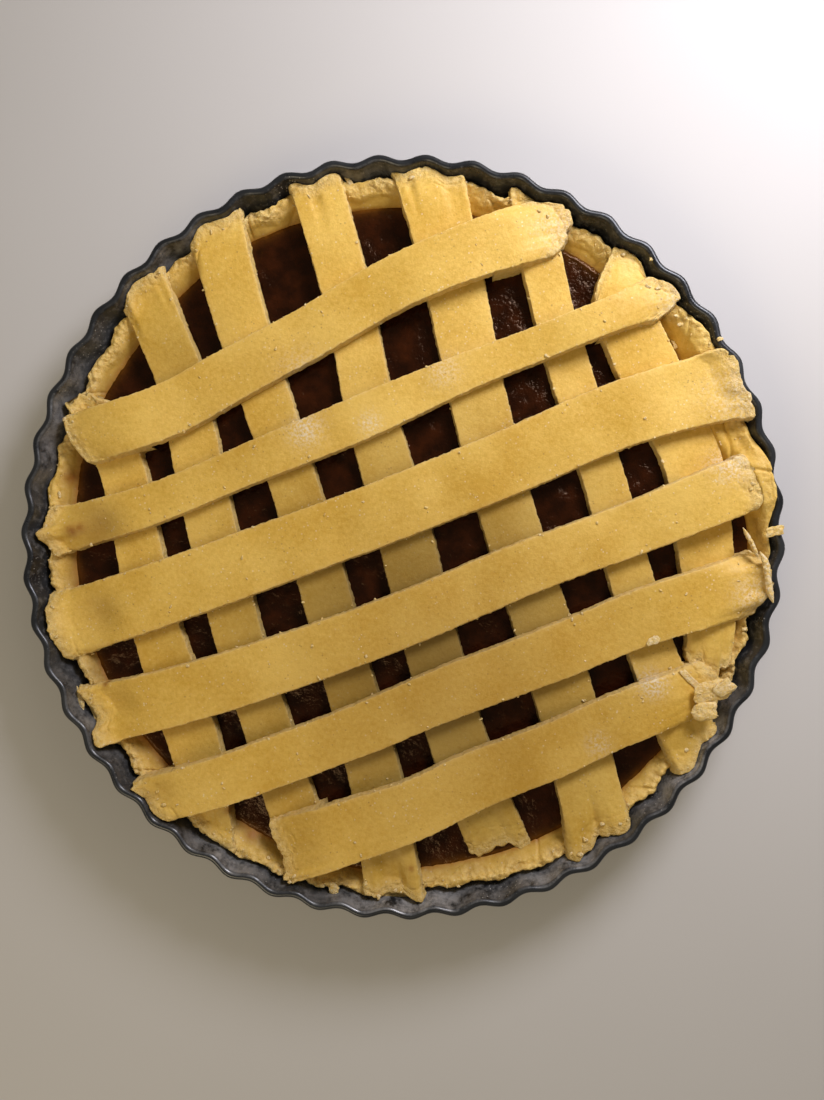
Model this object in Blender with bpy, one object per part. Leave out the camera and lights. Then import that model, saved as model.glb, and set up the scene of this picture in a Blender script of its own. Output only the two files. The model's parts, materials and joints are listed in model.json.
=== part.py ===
"""Unbaked jam crostata in its fluted steel tin.

The tin stands on z = 0 with its middle on the Z axis. A dough shell lines it, jam fills the shell,
seven strips of dough lie on the jam and six more lie across them.
All sizes below are millimetres and turn into metres where a mesh is made.
"""

import math

import bpy
import numpy as np

MM = 0.001
GAP = 0.3
WALL_GAP = 0.5
SHARP_ANGLE = math.radians(40)

# Tin
TIN_HEIGHT = 28.0
RIM_RADIUS = 138.8
BASE_RADIUS = 128.8
STEEL = 0.6
BEAD = 2.8
FLUTES = 50
FLUTE_DEPTH = 1.1
FLUTE_TURN = math.radians(-1.2)
BASE_FLUTE_SHARE = 0.35
STEPS_PER_FLUTE = 5
MOUTH_RADIUS = RIM_RADIUS - BEAD
BEAD_INNER_DROP = 1.0
OUTER_CORNER = 1.4
OUTER_CORNER_HEIGHT = 0.9
INNER_CORNER = 1.2
INNER_CORNER_HEIGHT = 1.6
WALL_FOOT = BASE_RADIUS - STEEL
WALL_SLOPE = (MOUTH_RADIUS - WALL_FOOT) / (TIN_HEIGHT - BEAD_INNER_DROP - INNER_CORNER_HEIGHT)

# Dough shell, with its uneven rim given at every 20 degrees from +X
SHELL_FLOOR_TOP = 7.0
SHELL_RIM_TOP = (23.5, 23.5, 22.0, 21.5, 22.0, 22.0, 21.5, 20.5, 20.5,
                 21.0, 20.0, 20.5, 21.0, 21.5, 20.5, 21.5, 20.5, 21.5)
SHELL_RIM_OUTER = (135.0, 134.5, 134.5, 134.0, 134.5, 134.0, 133.5, 132.5, 133.0,
                   133.5, 131.0, 133.0, 133.5, 134.0, 132.0, 134.0, 132.5, 134.0)
SHELL_RIM_INNER = (130.5, 125.5, 124.0, 123.5, 123.5, 123.5, 124.0, 122.0, 123.5,
                   122.5, 122.5, 122.0, 122.0, 125.0, 123.0, 123.5, 125.0, 127.0)
SHELL_INNER_DROP = 2.5
SHELL_INNER_SLOPE = 0.4
SHELL_LOWEST_INNER = 1.5
SHELL_FOOT_INSET = 2.0
CRAG_HEIGHT = 0.2
CRAG_WAVES = ((1.0, 23, 0.7), (0.7, 41, 2.1))
LAP_TURN = math.radians(8.8)
LAP_HALF_TURN = math.radians(7.4)
LAP_RADIUS = 138.6
LAP_THICKNESS = 1.3
LAP_RISE_SPREAD = 0.7
LAP_CREST_SHIFT = 3.2
EDGE_DROP = 1.4
SHOULDER_INSET = 0.45
CREST_INSET = 1.6

# Jam
JAM_TOP = 16.8
JAM_GAP = 0.4

# Strips
UNDER_THICKNESS = 3.7
TOP_THICKNESS = 3.9
PRESSED_THICKNESS = 2.4
PRESSED_LENGTH = 14.0
PRESSED_HEIGHT = 23.0
UNDER_END_HEIGHT = 21.0
FLARE_LENGTH = 8.0
CUT_EDGE_DROP = 1.0
CUT_EDGE_SHARE = 0.86
LANES = (-1.0, -CUT_EDGE_SHARE, -0.3, 0.3, CUT_EDGE_SHARE, 1.0)
LANE_REACH = math.radians(1.6)
SAG_SLOPE = 0.14
SAG_STEP = 1.0
FRAME_STEP = 0.01
SAG_WIDENING = 1.5
FIT_TOLERANCE = 0.2
FOOTPRINT_MARGIN = 0.5
END_MARGIN = 2.0
LONGEST_SPAN = 15.0
LONGEST_OVERRUN = 0.15
HALVINGS = 30
WALL = MOUTH_RADIUS
TO_WALL = (WALL, WALL, WALL)


def strip(name, start, end, sway, width, flare=(1.0, 1.0), start_cut=TO_WALL, end_cut=TO_WALL):
    """One strip of the lattice.

    sway: how far it strays to its left of the straight line, at sixths of its length.
    width: at its start, quarters and end. flare: extra width where the ends are pressed down.
    start_cut, end_cut: distance of the end from the Z axis at the left edge, middle and right edge.
    """
    return dict(name=name, start=start, end=end, sway=(0.0, *sway, 0.0), width=width, flare=flare,
                start_cut=start_cut, end_cut=end_cut)


UNDER_STRIPS = (
    strip("under_strip_1", (-118, 60), (-69, -117), (5, 3, 1, 2, 3.5), (18, 17.5, 18.5, 20, 16.5),
          flare=(3, 0), start_cut=(115, 127.5, 134.5), end_cut=(134, 132, 130)),
    strip("under_strip_2", (-96, 96.5), (-36.5, -108.5), (4, 1.5, -1, -2, -1), (19, 18.5, 19, 18.5, 19.5),
          flare=(2, 0), end_cut=(126, 127, 126)),
    strip("under_strip_3", (-67.5, 118), (0, -134.5), (0, 2.5, 4, 4, 4), (20.5, 19, 18.5, 19.5, 21),
          flare=(2, 2.5), end_cut=(135, 131.5, 134)),
    strip("under_strip_4", (-30, 134), (40.5, -119.5), (0, -3, -3, -4.5, -4.5), (19, 18.5, 20.5, 21.5, 23),
          flare=(1, 1.5), end_cut=(126, 121, 122.5)),
    strip("under_strip_5", (12, 137), (77.5, -118), (-1, -3, -3, -0.5, 1), (24, 21.5, 21, 22, 24),
          flare=(4, 5), end_cut=(WALL, 132.5, WALL)),
    strip("under_strip_6", (47.5, 135), (114.5, -86), (-4, -5, -4.5, -5.5, -5.5), (14, 15.5, 15.5, 17, 21)),
    strip("under_strip_7", (80.5, 106), (115, -47), (-1.5, 4, 10.5, 9.5, 6), (18, 22, 21.5, 20, 16),
          start_cut=(WALL, 134, 117), end_cut=(132.3, 125, 116)),
)

TOP_STRIPS = (
    strip("top_strip_1", (-119.5, 37), (59, 114), (-3.5, -1, 1.5, 4.5, 3.5), (20, 20, 19.5, 20, 22),
          start_cut=(133, 127, 117.5), end_cut=(WALL, 132.5, 118)),
    strip("top_strip_2", (-132, 2.5), (101, 89.5), (-4, -3, -2, 0, 0), (17, 15, 16.5, 13, 12.5),
          flare=(3.5, 8), start_cut=(131.5, 134, 129), end_cut=(135, WALL, 125)),
    strip("top_strip_3", (-129.5, -33.5), (127, 58.5), (-1.5, -1.5, -1, 0.5, 3), (24.5, 24, 23.5, 24, 24.5),
          flare=(3.5, 7), start_cut=(133, 134.5, 133)),
    strip("top_strip_4", (-118.5, -68), (128, 21.5), (-4, -5.5, -5, -2.5, -2), (22, 21.5, 20.5, 19.5, 20.5),
          flare=(4, 0), start_cut=(134, 132, WALL), end_cut=(128, 129, 129.5)),
    strip("top_strip_5", (-93, -98.5), (134, -14.5), (-1.5, -1.5, 0.5, 1, 2.5), (18, 19, 20, 20.5, 22),
          start_cut=(134.5, WALL, WALL), end_cut=(131, WALL, 133)),
    strip("top_strip_6", (-47.5, -118), (113.5, -53), (-1.5, -3, -1.5, -1, 1), (25, 23, 21.5, 20, 19),
          flare=(0, 0), start_cut=(116, 124.5, 134.5), end_cut=(120.5, 130, 130.5)),
)

# Loose bits: name, middle, length, width, thickness, direction in degrees
SCRAPS = (
    ("dough_shred_1", (128, -1), 11.0, 2.6, 2.2, -64),
    ("dough_shred_2", (133, -13), 18.0, 3.2, 2.2, -79),
    ("dough_scrap_1", (135.5, 3.5), 6.5, 3.6, 1.2, 8),
    ("dough_lump_1", (113.5, -53.5), 13.0, 8.0, 2.0, 8),
    ("dough_lump_2", (111.5, -61.0), 9.5, 6.5, 2.0, 5),
)
SCRAP_SIDES = 7
SCRAP_UNEVENNESS = 0.12
SCRAP_PROFILE = ((0.8, 0.0), (1.0, 0.45), (0.6, 1.0))
SCRAP_CONTACTS = (0.0, 0.35, 0.7, 1.1)

# Finish of each material: colour, metallic, roughness
STEEL_FINISH = ((0.028, 0.031, 0.034, 1.0), 0.85, 0.38)
SHELL_FINISH = ((0.66, 0.47, 0.20, 1.0), 0.0, 0.62)
JAM_FINISH = ((0.055, 0.012, 0.006, 1.0), 0.0, 0.16)
UNDER_FINISH = ((0.64, 0.47, 0.22, 1.0), 0.0, 0.60)
TOP_FINISH = ((0.74, 0.53, 0.22, 1.0), 0.0, 0.58)


def smooth_value(values, share):
    """Value at share 0..1 on a smooth curve through evenly spaced values."""
    last = len(values) - 1
    place = share * last
    index = int(min(max(math.floor(place), 0), last - 1))
    part = place - index
    here, after = values[index], values[index + 1]
    before = values[index - 1] if index > 0 else 2 * here - after
    beyond = values[index + 2] if index + 2 <= last else 2 * after - here
    return 0.5 * (2 * here + (after - before) * part
                  + (2 * before - 5 * here + 4 * after - beyond) * part ** 2
                  + (3 * here - before - 3 * after + beyond) * part ** 3)


def ring_value(values, turn):
    """Value at an angle on a smooth closed curve through evenly spaced values."""
    count = len(values)
    wrapped = values[-1:] + values + values[:2]
    place = (turn / math.tau) % 1.0 * count
    return smooth_value(wrapped, (place + 1) / (count + 2))


def flute(turn):
    return FLUTE_DEPTH * math.cos(FLUTES * (turn - FLUTE_TURN))


def wall_radius(height):
    """Mean radius of the tin's inner face."""
    return WALL_FOOT + WALL_SLOPE * (min(height, TIN_HEIGHT - BEAD_INNER_DROP) - INNER_CORNER_HEIGHT)


def flute_share(height):
    return BASE_FLUTE_SHARE + (1.0 - BASE_FLUTE_SHARE) * min(height / TIN_HEIGHT, 1.0)


def add_object(name, points, faces, finish):
    colour, metallic, roughness = finish
    mesh = bpy.data.meshes.new(name)
    mesh.from_pydata([tuple(value * MM for value in point) for point in points], [], faces)
    mesh.update()
    material = bpy.data.materials.new(name)
    material.use_nodes = True
    shader = material.node_tree.nodes["Principled BSDF"]
    shader.inputs["Base Color"].default_value = colour
    shader.inputs["Metallic"].default_value = metallic
    shader.inputs["Roughness"].default_value = roughness
    mesh.materials.append(material)
    mesh.shade_smooth()
    mesh.set_sharp_from_angle(angle=SHARP_ANGLE)
    shape = bpy.data.objects.new(name, mesh)
    bpy.context.scene.collection.objects.link(shape)
    return shape


def turns(count):
    return [FLUTE_TURN + math.tau * step / count for step in range(count)]


def bridge(lower, upper):
    """Faces between two rings of points, the upper as dense as the lower, twice or half as dense."""
    faces = []
    if len(lower) == len(upper):
        for step in range(len(lower)):
            after = (step + 1) % len(lower)
            faces.append((lower[step], lower[after], upper[after], upper[step]))
        return faces
    coarse, fine = (lower, upper) if len(lower) < len(upper) else (upper, lower)
    for step in range(len(coarse)):
        after = (step + 1) % len(coarse)
        first, middle, last = fine[2 * step], fine[2 * step + 1], fine[(2 * step + 2) % len(fine)]
        group = [(coarse[step], middle, first),
                 (coarse[step], coarse[after], middle),
                 (coarse[after], last, middle)]
        if coarse is upper:
            group = [tuple(reversed(face)) for face in group]
        faces += group
    return faces


def ringed_solid(rings):
    """Closed solid through rings of points, each end closed round a middle point on the axis.

    rings: lists of points, ordered from the underside's middle, up the outside and back in.
    """
    points = []
    ring_numbers = []
    for ring in rings:
        ring_numbers.append(list(range(len(points), len(points) + len(ring))))
        points += ring
    faces = []
    for lower, upper in zip(ring_numbers, ring_numbers[1:]):
        faces += bridge(lower, upper)
    under, over = len(points), len(points) + 1
    points.append((0.0, 0.0, rings[0][0][2]))
    points.append((0.0, 0.0, rings[-1][0][2]))
    first, last = ring_numbers[0], ring_numbers[-1]
    for step in range(len(first)):
        faces.append((under, first[(step + 1) % len(first)], first[step]))
    for step in range(len(last)):
        faces.append((over, last[step], last[(step + 1) % len(last)]))
    return points, faces


def make_tin():
    """Flat base, sloping fluted wall and a bead rolled outward at the mouth."""
    profile = (
        (BASE_RADIUS - OUTER_CORNER, 0.0),
        (BASE_RADIUS, OUTER_CORNER_HEIGHT),
        (MOUTH_RADIUS + STEEL, TIN_HEIGHT - BEAD),
        (RIM_RADIUS, TIN_HEIGHT - BEAD / 2),
        (MOUTH_RADIUS + BEAD / 2, TIN_HEIGHT),
        (MOUTH_RADIUS, TIN_HEIGHT - BEAD_INNER_DROP),
        (WALL_FOOT, INNER_CORNER_HEIGHT),
        (WALL_FOOT - INNER_CORNER, STEEL),
    )
    rings = []
    for radius, height in profile:
        rings.append([((radius + flute_share(height) * flute(turn)) * math.cos(turn),
                       (radius + flute_share(height) * flute(turn)) * math.sin(turn), height)
                      for turn in turns(FLUTES * STEPS_PER_FLUTE)])
    points, faces = ringed_solid(rings)
    add_object("tin", points, faces, STEEL_FINISH)


def lap_shares(turn):
    """How far the shell has risen to the tin's bead, and then how far it laps over it, 0..1."""
    off = abs(math.remainder(turn - LAP_TURN, math.tau)) / LAP_HALF_TURN
    rise = min(max(2.0 - 2.0 * off, 0.0), 1.0)
    reach = min(max(1.0 - 2.0 * off, 0.0) * 2.0, 1.0)
    return rise, math.sin(reach * math.pi / 2)


def crag(turn):
    """Small unevenness of the shell's pressed rim."""
    return CRAG_HEIGHT * sum(size * math.sin(waves * turn + start) for size, waves, start in CRAG_WAVES)


def shell_inner(turn, height):
    """Radius of the shell's inner face, which leans outward as it rises."""
    return ring_value(SHELL_RIM_INNER, turn) + SHELL_INNER_SLOPE * (height - JAM_TOP)


def shell_rim_heights(turn):
    """Height of the shell's rim at its outer and inner edge."""
    outer = ring_value(SHELL_RIM_TOP, turn) + crag(turn)
    return outer, max(outer - SHELL_INNER_DROP, JAM_TOP + SHELL_LOWEST_INNER)


def shell_crest(turn):
    """Radius and height of the rim's highest line."""
    rise, reach = lap_shares(turn)
    top = shell_rim_heights(turn)[0]
    return (ring_value(SHELL_RIM_OUTER, turn) - CREST_INSET + reach * LAP_CREST_SHIFT,
            top + rise * (TIN_HEIGHT + LAP_THICKNESS - top))


def shell_rings(count, coarse_count):
    """The shell's rings, from its underside up the tin's wall, over the rim and down to its floor."""
    under, outer, shoulder, crest, inner, floor = [], [], [], [], [], []
    for turn in turns(count):
        top = shell_rim_heights(turn)[0]
        rise, reach = lap_shares(turn)
        edge_height = top - EDGE_DROP + rise * (TIN_HEIGHT + EDGE_DROP + GAP - top)
        edge = min(ring_value(SHELL_RIM_OUTER, turn) + rise * LAP_RISE_SPREAD, wall_radius(edge_height) - GAP)
        edge += flute_share(edge_height) * flute(turn)
        shoulder_edge = edge - SHOULDER_INSET * (1.0 - reach) + reach * (LAP_RADIUS - MOUTH_RADIUS)
        shoulder_height = top - SHOULDER_INSET + rise * (TIN_HEIGHT + 2 * SHOULDER_INSET - top)
        outer.append((edge * math.cos(turn), edge * math.sin(turn), edge_height))
        shoulder.append((shoulder_edge * math.cos(turn), shoulder_edge * math.sin(turn), shoulder_height))
    for turn in turns(coarse_count):
        inner_top = shell_rim_heights(turn)[1]
        crest_edge, crest_height = shell_crest(turn)
        stations = (
            (under, wall_radius(STEEL + GAP) - SHELL_FOOT_INSET, STEEL + GAP),
            (crest, crest_edge, crest_height),
            (inner, shell_inner(turn, inner_top), inner_top),
            (floor, shell_inner(turn, SHELL_FLOOR_TOP), SHELL_FLOOR_TOP),
        )
        for ring, radius, height in stations:
            ring.append((radius * math.cos(turn), radius * math.sin(turn), height))
    return [under, outer, shoulder, crest, inner, floor]


def make_shell():
    count = FLUTES * STEPS_PER_FLUTE
    points, faces = ringed_solid(shell_rings(count, count // 2))
    add_object("crust_shell", points, faces, SHELL_FINISH)


def make_jam():
    """The jam fills the shell up to its level."""
    rings = []
    for height in (SHELL_FLOOR_TOP + GAP, JAM_TOP):
        ring = []
        for turn in turns(FLUTES * STEPS_PER_FLUTE // 2):
            radius = shell_inner(turn, height) - JAM_GAP
            ring.append((radius * math.cos(turn), radius * math.sin(turn), height))
        rings.append(ring)
    points, faces = ringed_solid(rings)
    add_object("jam_filling", points, faces, JAM_FINISH)


def shell_height(x, y):
    """Top of the jam, shell or tin's bead under a point."""
    radius = math.hypot(x, y)
    turn = math.atan2(y, x)
    if radius > MOUTH_RADIUS - FLUTE_DEPTH:
        return TIN_HEIGHT + LAP_THICKNESS * lap_shares(turn)[0]
    inner_top = shell_rim_heights(turn)[1]
    rim, outer_top = shell_crest(turn)
    inner_edge = shell_inner(turn, inner_top)
    foot = shell_inner(turn, JAM_TOP)
    if radius < foot:
        return JAM_TOP
    if radius < inner_edge:
        return JAM_TOP + (inner_top - JAM_TOP) * (radius - foot) / (inner_edge - foot)
    share = min((radius - inner_edge) / max(rim - inner_edge, 0.1), 1.0)
    return inner_top + (outer_top - inner_top) * share


def strip_point(row, share):
    """Middle of a strip at share 0..1 of its length."""
    start, end = np.array(row["start"], float), np.array(row["end"], float)
    along = (end - start) / np.linalg.norm(end - start)
    left = np.array((-along[1], along[0]))
    return start + (end - start) * share + left * smooth_value(row["sway"], share)


def strip_frame(row, share):
    """Middle, left-hand direction and half width of a strip, which runs straight on past its ends."""
    inside = min(max(share, 0.0), 1.0)
    near = min(max(inside, FRAME_STEP), 1.0 - FRAME_STEP)
    ahead = strip_point(row, near + FRAME_STEP) - strip_point(row, near - FRAME_STEP)
    along = ahead / np.linalg.norm(ahead)
    length = strip_length(row)
    middle = strip_point(row, inside) + along * (share - inside) * length
    flare = (row["flare"][0] * math.exp(-inside * length / FLARE_LENGTH)
             + row["flare"][1] * math.exp(-(1.0 - inside) * length / FLARE_LENGTH))
    width = smooth_value(row["width"], inside) + flare
    return middle, np.array((-along[1], along[0])), width / 2


def strip_length(row):
    return math.dist(row["start"], row["end"])


def cut_limit(row, at_end, lane):
    """Distance from the axis at which a lane of a strip is cut."""
    left, middle, right = row["end_cut" if at_end else "start_cut"]
    return middle + (left - middle if lane > 0 else right - middle) * abs(lane)


def wall_limit(x, y, height, follow_flutes):
    """Farthest distance from the axis at which dough clears the tin's fluted wall."""
    turn = math.atan2(y, x)
    lobe = min(flute(turn - LANE_REACH), flute(turn), flute(turn + LANE_REACH))
    return wall_radius(height) - WALL_GAP + (lobe if follow_flutes else -FLUTE_DEPTH)


def lane_end(row, at_end, lane, height, follow_flutes=True):
    """Share of the strip's length at which a lane reaches its cut end or the tin."""
    cut = cut_limit(row, at_end, lane)
    near, far = 0.5, 1.0 + LONGEST_OVERRUN if at_end else -LONGEST_OVERRUN
    for _ in range(HALVINGS):
        trial = (near + far) / 2
        middle, left, half = strip_frame(row, trial)
        x, y = middle + left * half * lane
        if math.hypot(x, y) < min(cut, wall_limit(x, y, height, follow_flutes)):
            near = trial
        else:
            far = trial
    return near


def thickness_at(row, share, full):
    """Strips are thinner where their ends are pressed down."""
    length = strip_length(row)
    distance = max(min(share, 1.0 - share) * length, 0.0)
    pressed = math.exp(-(distance / PRESSED_LENGTH) ** 2)
    return full - (full - PRESSED_THICKNESS) * pressed


def strip_ends(row, heights):
    """Shares at which each lane of the strip is cut, at its start and at its end."""
    return [[lane_end(row, at_end, lane, heights[at_end] - lane_drop(lane)) for lane in LANES]
            for at_end in (0, 1)]


def lane_drop(lane):
    """The cut edges slope down from the strip's flat top."""
    return CUT_EDGE_DROP if abs(lane) == 1.0 else 0.0


def support_under(row, share, supports):
    """Highest thing under one crosswise line of a strip."""
    middle, left, half = strip_frame(row, share)
    highest = JAM_TOP
    for lane in np.linspace(-1.0, 1.0, 9):
        x, y = middle + left * (half + FOOTPRINT_MARGIN) * lane
        inward = min(1.0, (MOUTH_RADIUS - FLUTE_DEPTH - GAP) / math.hypot(x, y))
        highest = max(highest, shell_height(x * inward, y * inward))
        for support in supports:
            highest = max(highest, top_of(support, x, y))
    return highest


def top_of(support, x, y):
    """Top of a strip already laid at a point, or 0 where it isn't."""
    offsets = support["middles"] - (x, y)
    nearest = int(np.argmin((offsets ** 2).sum(axis=1)))
    sideways = abs(float(offsets[nearest] @ support["lefts"][nearest]))
    distance = float(np.linalg.norm(offsets[nearest]))
    along = math.sqrt(max(distance ** 2 - sideways ** 2, 0.0))
    if sideways > support["halves"][nearest] + FOOTPRINT_MARGIN or along > SAG_STEP:
        return 0.0
    return support["tops"][nearest]


def lay_strip(row, full_thickness, supports):
    """Heights of a strip that bends only gently between the things that carry it."""
    length = strip_length(row)
    ends = strip_ends(row, (PRESSED_HEIGHT, PRESSED_HEIGHT))
    steps = int((max(ends[1]) - min(ends[0])) * length / SAG_STEP)
    shares = np.linspace(min(ends[0]), max(ends[1]), steps + 1)
    needs = np.array([support_under(row, share, supports) for share in shares])
    spread = int(SAG_WIDENING / SAG_STEP + 0.5)
    padded = np.pad(needs, spread, mode="edge")
    needs = np.max([padded[shift:shift + len(needs)] for shift in range(2 * spread + 1)], axis=0)
    distances = np.abs(shares[:, None] - shares[None, :]) * length
    unders = np.max(needs[None, :] - SAG_SLOPE * distances, axis=1) + GAP + FIT_TOLERANCE
    first = max(ends[0]) + END_MARGIN / length
    last = min(ends[1]) - END_MARGIN / length
    for pressed in (shares <= first + SAG_STEP / length, shares >= last - SAG_STEP / length):
        unders[pressed] = unders[pressed].max()
    frames = [strip_frame(row, share) for share in shares]
    tops = np.array([under + thickness_at(row, share, full_thickness)
                     for under, share in zip(unders, shares)])
    return dict(row=row, shares=shares, unders=unders, tops=tops, first=first, last=last,
                ends=strip_ends(row, (tops[0], tops[-1])),
                middles=np.array([frame[0] for frame in frames]),
                lefts=np.array([frame[1] for frame in frames]),
                halves=np.array([frame[2] for frame in frames]))


def stations_between(laid, first, last):
    """Shares where the strip needs a station so that straight spans follow it closely."""
    length = strip_length(laid["row"])
    chosen = [first, last]
    spans = [(first, last)]
    while spans:
        start, end = spans.pop()
        inner = [share for share in laid["shares"] if start < share < end]
        if not inner:
            continue
        heights = np.interp(inner, laid["shares"], laid["unders"])
        ends = np.interp((start, end), laid["shares"], laid["unders"])
        line = np.interp(inner, (start, end), ends)
        errors = np.abs(heights - line)
        worst = int(np.argmax(errors))
        if errors[worst] < FIT_TOLERANCE and (end - start) * length < LONGEST_SPAN:
            continue
        split = inner[worst] if errors[worst] >= FIT_TOLERANCE else inner[len(inner) // 2]
        chosen.append(split)
        spans += [(start, split), (split, end)]
    return sorted(chosen)


def make_strip(laid, finish):
    """Slab with sloping cut edges, its ends cut lane by lane."""
    row = laid["row"]
    inner_shares = stations_between(laid, laid["first"], laid["last"])
    columns = [laid["ends"][0]] + [[share] * len(LANES) for share in inner_shares] + [laid["ends"][1]]
    points = []
    faces = []
    for number, column in enumerate(columns):
        for lane, share in zip(LANES, column):
            middle, left, half = strip_frame(row, share)
            x, y = middle + left * half * lane
            points.append((x, y, np.interp(share, laid["shares"], laid["tops"]) - lane_drop(lane)))
        for lane, share in ((1.0, column[-1]), (-1.0, column[0])):
            share = under_share(row, lane, share, number, len(columns))
            middle, left, half = strip_frame(row, share)
            x, y = middle + left * half * lane
            points.append((x, y, np.interp(share, laid["shares"], laid["unders"])))
    per_column = len(LANES) + 2
    for number in range(len(columns) - 1):
        base, following = number * per_column, (number + 1) * per_column
        for here in range(per_column):
            after = (here + 1) % per_column
            faces.append((base + here, following + here, following + after, base + after))
    final = (len(columns) - 1) * per_column
    for here in range(per_column - 2):
        faces.append((per_column - 1, here, here + 1))
        faces.append((final + per_column - 1, final + here + 1, final + here))
    add_object(row["name"], points, faces, finish)


def under_share(row, lane, share, number, count):
    """The underside's corners stop where they clear the sloping wall."""
    if number == 0:
        return max(share, lane_end(row, 0, lane, UNDER_END_HEIGHT, follow_flutes=False))
    if number == count - 1:
        return min(share, lane_end(row, 1, lane, UNDER_END_HEIGHT, follow_flutes=False))
    return share


def make_scrap(entry, supports):
    """Small torn bit of dough lying on what is under it."""
    name, middle, length, width, thickness, degrees = entry
    along = np.array((math.cos(math.radians(degrees)), math.sin(math.radians(degrees))))
    across = np.array((-along[1], along[0]))
    corners = []
    for step in range(SCRAP_SIDES):
        turn = math.tau * step / SCRAP_SIDES
        swell = 1.0 + SCRAP_UNEVENNESS * math.sin(3 * turn + length)
        corners.append(along * length / 2 * swell * math.cos(turn)
                       + across * width / 2 * swell * math.sin(turn))
    under = 0.0
    for share in SCRAP_CONTACTS:
        for corner in corners:
            x, y = np.array(middle) + corner * share
            under = max([under, shell_height(x, y)] + [top_of(support, x, y) for support in supports])
    under += GAP
    points = []
    for share, height in SCRAP_PROFILE:
        for corner in corners:
            x, y = np.array(middle) + corner * share
            points.append((x, y, under + thickness * height))
    faces = [tuple(reversed(range(SCRAP_SIDES))), tuple(range(2 * SCRAP_SIDES, 3 * SCRAP_SIDES))]
    for level in (0, 1):
        lower = list(range(level * SCRAP_SIDES, (level + 1) * SCRAP_SIDES))
        faces += bridge(lower, [number + SCRAP_SIDES for number in lower])
    add_object(name, points, faces, TOP_FINISH)


def main():
    for shape in list(bpy.data.objects):
        bpy.data.objects.remove(shape)
    make_tin()
    make_shell()
    make_jam()
    laid_under = [lay_strip(row, UNDER_THICKNESS, []) for row in UNDER_STRIPS]
    for laid in laid_under:
        make_strip(laid, UNDER_FINISH)
    laid_top = [lay_strip(row, TOP_THICKNESS, laid_under) for row in TOP_STRIPS]
    for laid in laid_top:
        make_strip(laid, TOP_FINISH)
    for entry in SCRAPS:
        make_scrap(entry, laid_under + laid_top)


main()
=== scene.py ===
"""Looks of the unbaked jam crostata in its fluted tin. Sizes are millimetres until a mesh is made."""

import json
import math

import bmesh
import bpy
import numpy as np
from mathutils import Matrix, Vector
from mathutils.bvhtree import BVHTree

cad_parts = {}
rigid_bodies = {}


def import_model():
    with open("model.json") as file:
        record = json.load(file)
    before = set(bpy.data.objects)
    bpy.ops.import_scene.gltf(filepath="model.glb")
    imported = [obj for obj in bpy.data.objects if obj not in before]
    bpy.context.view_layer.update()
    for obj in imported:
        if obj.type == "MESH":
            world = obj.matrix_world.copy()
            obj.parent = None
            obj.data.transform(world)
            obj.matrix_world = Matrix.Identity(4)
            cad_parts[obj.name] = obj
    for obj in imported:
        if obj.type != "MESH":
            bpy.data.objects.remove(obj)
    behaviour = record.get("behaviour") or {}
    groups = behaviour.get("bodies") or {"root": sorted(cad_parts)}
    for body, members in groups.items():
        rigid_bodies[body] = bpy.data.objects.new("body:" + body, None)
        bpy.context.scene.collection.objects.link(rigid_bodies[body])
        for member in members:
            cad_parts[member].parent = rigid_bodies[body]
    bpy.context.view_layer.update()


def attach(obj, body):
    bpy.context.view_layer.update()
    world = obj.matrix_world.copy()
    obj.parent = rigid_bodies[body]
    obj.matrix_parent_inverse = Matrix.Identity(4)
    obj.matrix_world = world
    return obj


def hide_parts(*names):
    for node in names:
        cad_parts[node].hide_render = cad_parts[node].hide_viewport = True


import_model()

MM = 0.001

# Tin
TIN_HEIGHT = 28.0
RIM_RADIUS = 138.8
BASE_RADIUS = 128.8
STEEL = 0.6
BEAD = 2.8
FLUTES = 50
FLUTE_DEPTH = 1.1
FLUTE_TURN = math.radians(-1.2)
BASE_FLUTE_SHARE = 0.35
MOUTH_RADIUS = RIM_RADIUS - BEAD
TIN_GAP = 0.3
WALL_SLOPE = (MOUTH_RADIUS - BASE_RADIUS + STEEL) / (TIN_HEIGHT - 2.6)

# Filling and lattice
JAM_TOP = 16.8
END_GAP = 0.55
FLARE_LENGTH = 8.0
WALL = MOUTH_RADIUS + 2.0
TO_WALL = (WALL, WALL, WALL)


def strip(name, start, end, sway, width, flare=(1.0, 1.0), start_cut=TO_WALL, end_cut=TO_WALL):
    """One strip of the lattice, as the part's source places it.

    sway: how far it strays to its left of the straight line, at sixths of its length.
    width: at its start, quarters and end. flare: extra width where the ends are pressed down.
    start_cut, end_cut: distance of the end from the Z axis at the left edge, middle and right edge.
    """
    return dict(name=name, start=start, end=end, sway=(0.0, *sway, 0.0), width=width, flare=flare,
                start_cut=start_cut, end_cut=end_cut)


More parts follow.
